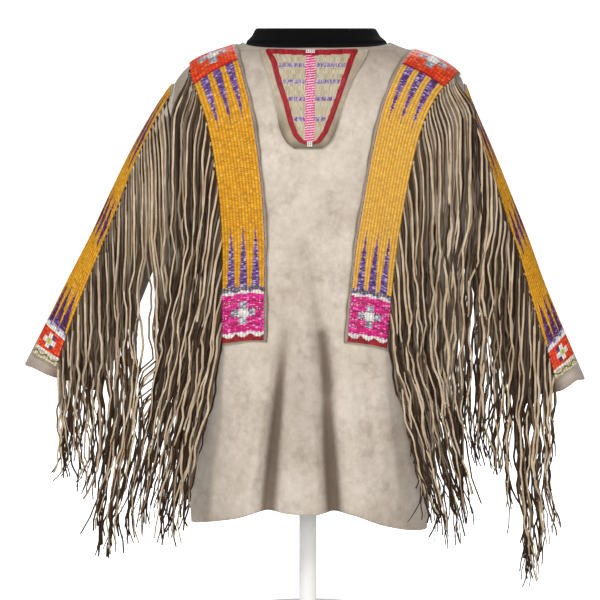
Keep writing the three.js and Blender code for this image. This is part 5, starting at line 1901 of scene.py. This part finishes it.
@dataclass
class DressForm:
    """The covered torso with its low flat-topped neck, the pole and the base plate."""

    top: float = 945.0
    bottom: float = 300.0
    inset: float = 2.8  # under the shirt's outer face near the neck
    hidden_inset: float = 4.0  # more of it under the shoulders, where the hide has creases
    sides: int = 96
    pole_radius: float = 14.0
    base_radius: float = 160.0
    base_thick: float = 12.0
    base_roll: float = 4.0

    TORSO = Table(
        "z left right front back",
        (300, 118, 124, 60, 54), (304, 134, 140, 72, 66), (318, 148, 154, 84, 78),
        (360, 154, 160, 90, 84), (450, 142, 150, 86, 78), (560, 148, 160, 94, 80),
        (680, 166, 186, 108, 86), (780, 184, 212, 110, 90), (835, 196, 228, 104, 90),
    )
    NECK = Table(
        "z left right front back",
        (921, 101, 128, 61, 59), (932, 89, 114, 58, 56), (945, 82, 106, 55, 53),
    )

    def section(self, z: float) -> dict[str, Array]:
        """Returns the section's half widths and depths at a height."""
        torso, shirt, neck = self.TORSO.all(z), BODY.all(z + self.inset), self.NECK.all(z)
        under = self.inset + self.hidden_inset * ease((z - 850) / 10) * ease((912 - z) / 10)
        to_shirt, to_neck = ease((z - 835) / 40), ease((z - 919) / 8)
        return {n: mix(mix(torso[n], shirt[n] - under, to_shirt), neck[n], to_neck) for n in torso}

    def torso(self, finish: Material) -> Object:
        """Returns the torso, closed at the bottom and the top, with soft rims."""
        heights = [*np.linspace(300, 320, 12), *np.linspace(325, 870, 60), *np.linspace(873, 942, 44)]
        rows = [(z, 1.0) for z in heights] + [(943.8, 0.992), (944.8, 0.975), (self.top, 0.95)]
        rows += [(self.top, k) for k in (0.8, 0.55, 0.25)]
        rows = [(self.bottom, k) for k in (0.25, 0.6, 0.9)] + rows
        points = []
        angles = np.linspace(0, math.tau, self.sides, endpoint=False)
        cosine, sine = np.cos(angles), np.sin(angles)
        for z, shrink in rows:
            at = self.section(z)
            x = cosine * np.where(cosine < 0, at["left"], at["right"]) * shrink
            y = sine * np.where(sine < 0, at["front"], at["back"]) * shrink
            points.append(np.stack([x, y, np.full_like(x, z)], -1))
        return self.turned("dress_form_cover", np.array(points), finish)

    def turned(self, name: str, rings: Array, finish: Material) -> Object:
        """Returns a closed piece through rings, from the lowest to the highest."""
        count, around = rings.shape[:2]
        faces = grid_quads(count, around, 0, tube=True).tolist()
        faces += [list(range(around))[::-1], list(range((count - 1) * around, count * around))]
        return make_object(name, rings.reshape(-1, 3), faces, finish)

    def lathe(self, name: str, profile: Profile, finish: Material) -> Object:
        """Returns a closed round piece about the pole from its radii and heights, bottom first."""
        angles = np.linspace(0, math.tau, self.sides, endpoint=False)
        return self.turned(name, round_rings(profile, angles), finish)

    def pole(self, finish: Material) -> Object:
        """Returns the pole with its collar on the base."""
        foot = self.base_thick + SEAM
        radius = self.pole_radius
        profile = [(24, foot), (26, foot + 1.5), (26, foot + 11), (25.3, foot + 14), (22, foot + 15.7)]
        profile += [(radius + 2.5, foot + 16.2), (radius + 0.8, foot + 17.2), (radius, foot + 19.5)]
        profile += [(radius, z) for z in np.linspace(60, self.bottom - 2, 12)]
        profile += [(radius - 0.8, self.bottom - SEAM)]
        return self.lathe("stand_pole_tube", profile, finish)

    def base(self, finish: Material) -> Object:
        """Returns the base plate with its rolled edge."""
        radius, thick = self.base_radius, self.base_thick
        low, roll = thick - self.base_roll, self.base_roll
        profile = [(40, 0), (120, 0), (radius - 1.5, 0), (radius - 0.4, 0.6), (radius, 2), (radius, low)]
        turns = np.linspace(0.15, 1.0, 7) * math.pi / 2
        profile += [(radius - roll + roll * math.cos(a), low + roll * math.sin(a)) for a in turns]
        profile += [(120, thick), (40, thick)]
        return self.lathe("stand_base_plate", profile, finish)


# ---- Seams ----


@dataclass
class Seams:
    """Sinew stitches along the armhole seams, the neck edge and the bib."""

    shape: BodyShape
    bib: Bib
    inset: float = 5.0  # from the hides' edges at the armholes
    lift: float = 0.35

    def build(self, finish: Material) -> Object:
        """Returns all stitches as one piece."""
        made = make_lines("seam_stitches", self.lines(), finish)
        sizes = {"Pitch": 5.2 * METRES, "Thread": 0.9 * METRES, "Length": 4.0 * METRES, "Turn": 0.25}
        return stitch_tree().run(made, **sizes, Material=finish)

    def lines(self) -> list[Array]:
        """Returns the seams' lines."""
        lines = []
        for face in Face:
            for side in Side:
                turn = np.linspace(0.12, 0.88, 60) * math.pi
                middle = (SHOULDER_TIP + ARMPIT) / 2
                z = middle + (SHOULDER_TIP - middle) * np.cos(turn)
                x = side.value * (self.shape.edge(face, side.value + 0 * z, z) - self.inset)
                lines.append(self.shape.lifted(face, x, z, self.lift))
            x = np.linspace(-108, 134, 120)
            lines.append(self.shape.lifted(face, x, np.full_like(x, NECKLINE - 4.5), self.lift))
        down = np.linspace(6, 118, 50)
        for sign in (-1, 1):
            x = self.bib.OUTLINE.read("middle", down) + sign * (self.bib.OUTLINE.read("half", down) - 4.5)
            lines.append(self.bib.lift(down, x, LIE + 1.5))
        return lines


# ---- The stage ----


@dataclass
class Stage:
    """The pale floor, the lights and the camera."""

    eye: tuple[float, float, float] = (-0.0126, -5.0, 0.947)
    aim: tuple[float, float, float] = (-0.0126, 0.0, 0.517)
    lens: float = 190.57
    sensor: float = 36.0
    lit: tuple[float, float, float] = (0.0, 0.0, 0.55)  # the place that every light looks at

    def build(self) -> None:
        """Makes the stage."""
        self.floor()
        for name, place, size, power in (
            ("Key", (-2.1, -2.9, 3.3), 1.0, 102.0),
            ("Fill", (3.0, -3.0, 2.4), 1.2, 46.0),
            ("Front", (0.2, -4.3, 1.5), 1.0, 36.0),
            ("Back", (0.4, 2.6, 3.0), 2.0, 60.0),
        ):
            lamp = bpy.data.lights.new(name, "AREA")
            lamp.energy, lamp.size = power, size
            self.aimed(name, lamp, place, self.lit)
        bpy.context.scene.view_settings.view_transform = "Standard"
        world = bpy.context.scene.world or bpy.data.worlds.new("World")
        bpy.context.scene.world = world
        world.use_nodes = True
        sky = world.node_tree.nodes["Background"]
        sky.inputs["Color"].default_value = WHITE
        sky.inputs["Strength"].default_value = 0.3
        camera = bpy.data.cameras.new("Camera")
        camera.lens, camera.sensor_width, camera.clip_end = self.lens, self.sensor, 60.0
        bpy.context.scene.camera = self.aimed("Camera", camera, self.eye, self.aim)

    def floor(self) -> None:
        """Makes the floor, which turns up to a pale wall all round, far behind the part."""
        turns = np.linspace(0, math.tau, 72, endpoint=False)
        rise = np.linspace(0, math.pi / 2, 12)
        flat, bend = 14000.0, 3000.0
        profile = [(r, -0.2) for r in (60, 1500, 5000, flat)]
        profile += [(flat + bend * math.sin(a), bend * (1 - math.cos(a)) - 0.2) for a in rise[1:]]
        profile += [(flat + bend, 9000)]
        rings = round_rings(profile, turns)
        faces = grid_quads(*rings.shape[:2], 0, tube=True).tolist()
        faces.append(list(range(len(turns))))
        made, build, shader = new_material("Pale floor")
        grain = build.noise(build.place(), 3.0, 2.0)
        seen = build.add("ShaderNodeLightPath").outputs["Is Camera Ray"]
        look = {
            "Base Color": build.blend(build.spread(grain, 0.3, 0.7), linear("#f4f4f3"), linear("#fafafa")),
            "Roughness": 0.9,
            "Emission Color": WHITE,
            "Emission Strength": build.spread(seen, 0.0, 1.0, 0.06, 1.0),
        }
        build.fill(shader, look)
        make_object("floor", rings.reshape(-1, 3), faces, made)

    @staticmethod
    def aimed(name: str, data: bpy.types.ID, place: tuple, aim: tuple) -> Object:
        """Returns a light or a camera at a place, turned to another."""
        made = into_scene(name, data)
        made.location = place
        made.rotation_euler = (Vector(aim) - Vector(place)).to_track_quat("-Z", "Y").to_euler()
        return made


# ---- The shirt ----


@dataclass
class WarShirt:
    """The whole shirt: hides, sleeves, quilled strips, bib, fringes and seams."""

    finishes: Finishes
    cuts: dict[str, Cut]

    def build(self) -> None:
        """Builds the shirt and hands every piece over."""
        shape = BodyShape()
        sleeves = {side: SleeveShape(side) for side in Side}
        runs = {side: ShoulderRun(side, shape) for side in Side}
        fringes = ShirtFringes(runs, sleeves, Reach(shape, sleeves)).build(self.finishes.fringe)
        for node, made in fringes.items():
            hand_over(made, "fringe_hide", node)
        bib = Bib(shape, self.cuts["bib"])
        pieces = bib.build(self.finishes)
        hand_over(pieces["hide"], "bib", "bib")
        hand_over(pieces["quills"], "quillwork")
        hand_over(pieces["beads"], "quillwork")
        bib.cut.declare(pieces["hide"], "laid", ["front_hide"], [pieces["quills"], pieces["beads"]])
        self.strips(runs, sleeves, fringes)
        for face in Face:
            hide = BodyHide(face, shape, self.cuts["body"])
            made = hand_over(hide.build(self.finishes.hide), "hide", f"{face.word}_hide")
            hide.cut.declare(made, "draped", ["dress_form"], [])
        for side, sleeve_shape in sleeves.items():
            sleeve = Sleeve(sleeve_shape, self.cuts["sleeve"])
            made = hand_over(sleeve.build(self.finishes.hide), "hide", f"sleeve_{side.word}")
            sleeve.cut.declare(made, "hung", ["front_hide", "back_hide"], [])
        hand_over(Seams(shape, bib).build(self.finishes.sinew), "fringe_hide")

    def strips(self, runs: dict, sleeves: dict, fringes: dict) -> None:
        """Builds the four strips and hands over their quills and hide bases."""
        for side in Side:
            end = 518.0 if side is Side.LEFT else 532.0
            shoulder = ShoulderStrip(runs[side], end, self.cuts["shoulder strip"])
            on_shoulder = [fringes[f"{face.word}_fringe_{side.word}"] for face in Face]
            sleeve = SleeveStrip(sleeves[side], self.cuts["sleeve strip"])
            on_sleeve = [fringes[f"sleeve_fringe_{side.word}"]]
            for kind, strip, on_it, under in (
                ("shoulder", shoulder, on_shoulder, ["front_hide", "back_hide"]),
                ("sleeve", sleeve, on_sleeve, [f"sleeve_{side.word}"]),
            ):
                quills, base = strip.build(self.finishes)
                hand_over(quills, "quillwork", f"{kind}_strip_{side.word}")
                hand_over(base, "fringe_hide")
                strip.cut.declare(base, "laid", under, [quills, *on_it])


CUTS = {
    "body": Cut(0.62, 0.80, 0.42),
    "sleeve": Cut(0.72, 0.50, 0.127),
    "shoulder strip": Cut(0.075, 1.06, None),
    "sleeve strip": Cut(0.052, 0.48, None),
    "bib": Cut(0.17, 0.155, 0.018),
}


def main() -> None:
    """Builds the part around its frame."""
    logging.basicConfig(level=logging.INFO, format="%(name)s: %(message)s")
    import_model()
    finishes = Finishes()
    WarShirt(finishes, CUTS).build()
    form = DressForm()
    hand_over(form.torso(finishes.knit), "form_cover", "dress_form")
    hand_over(form.pole(finishes.enamel), "stand_enamel", "stand_pole")
    hand_over(form.base(finishes.enamel), "stand_enamel", "stand_base")
    Stage().build()


if __name__ == "__main__":
    main()
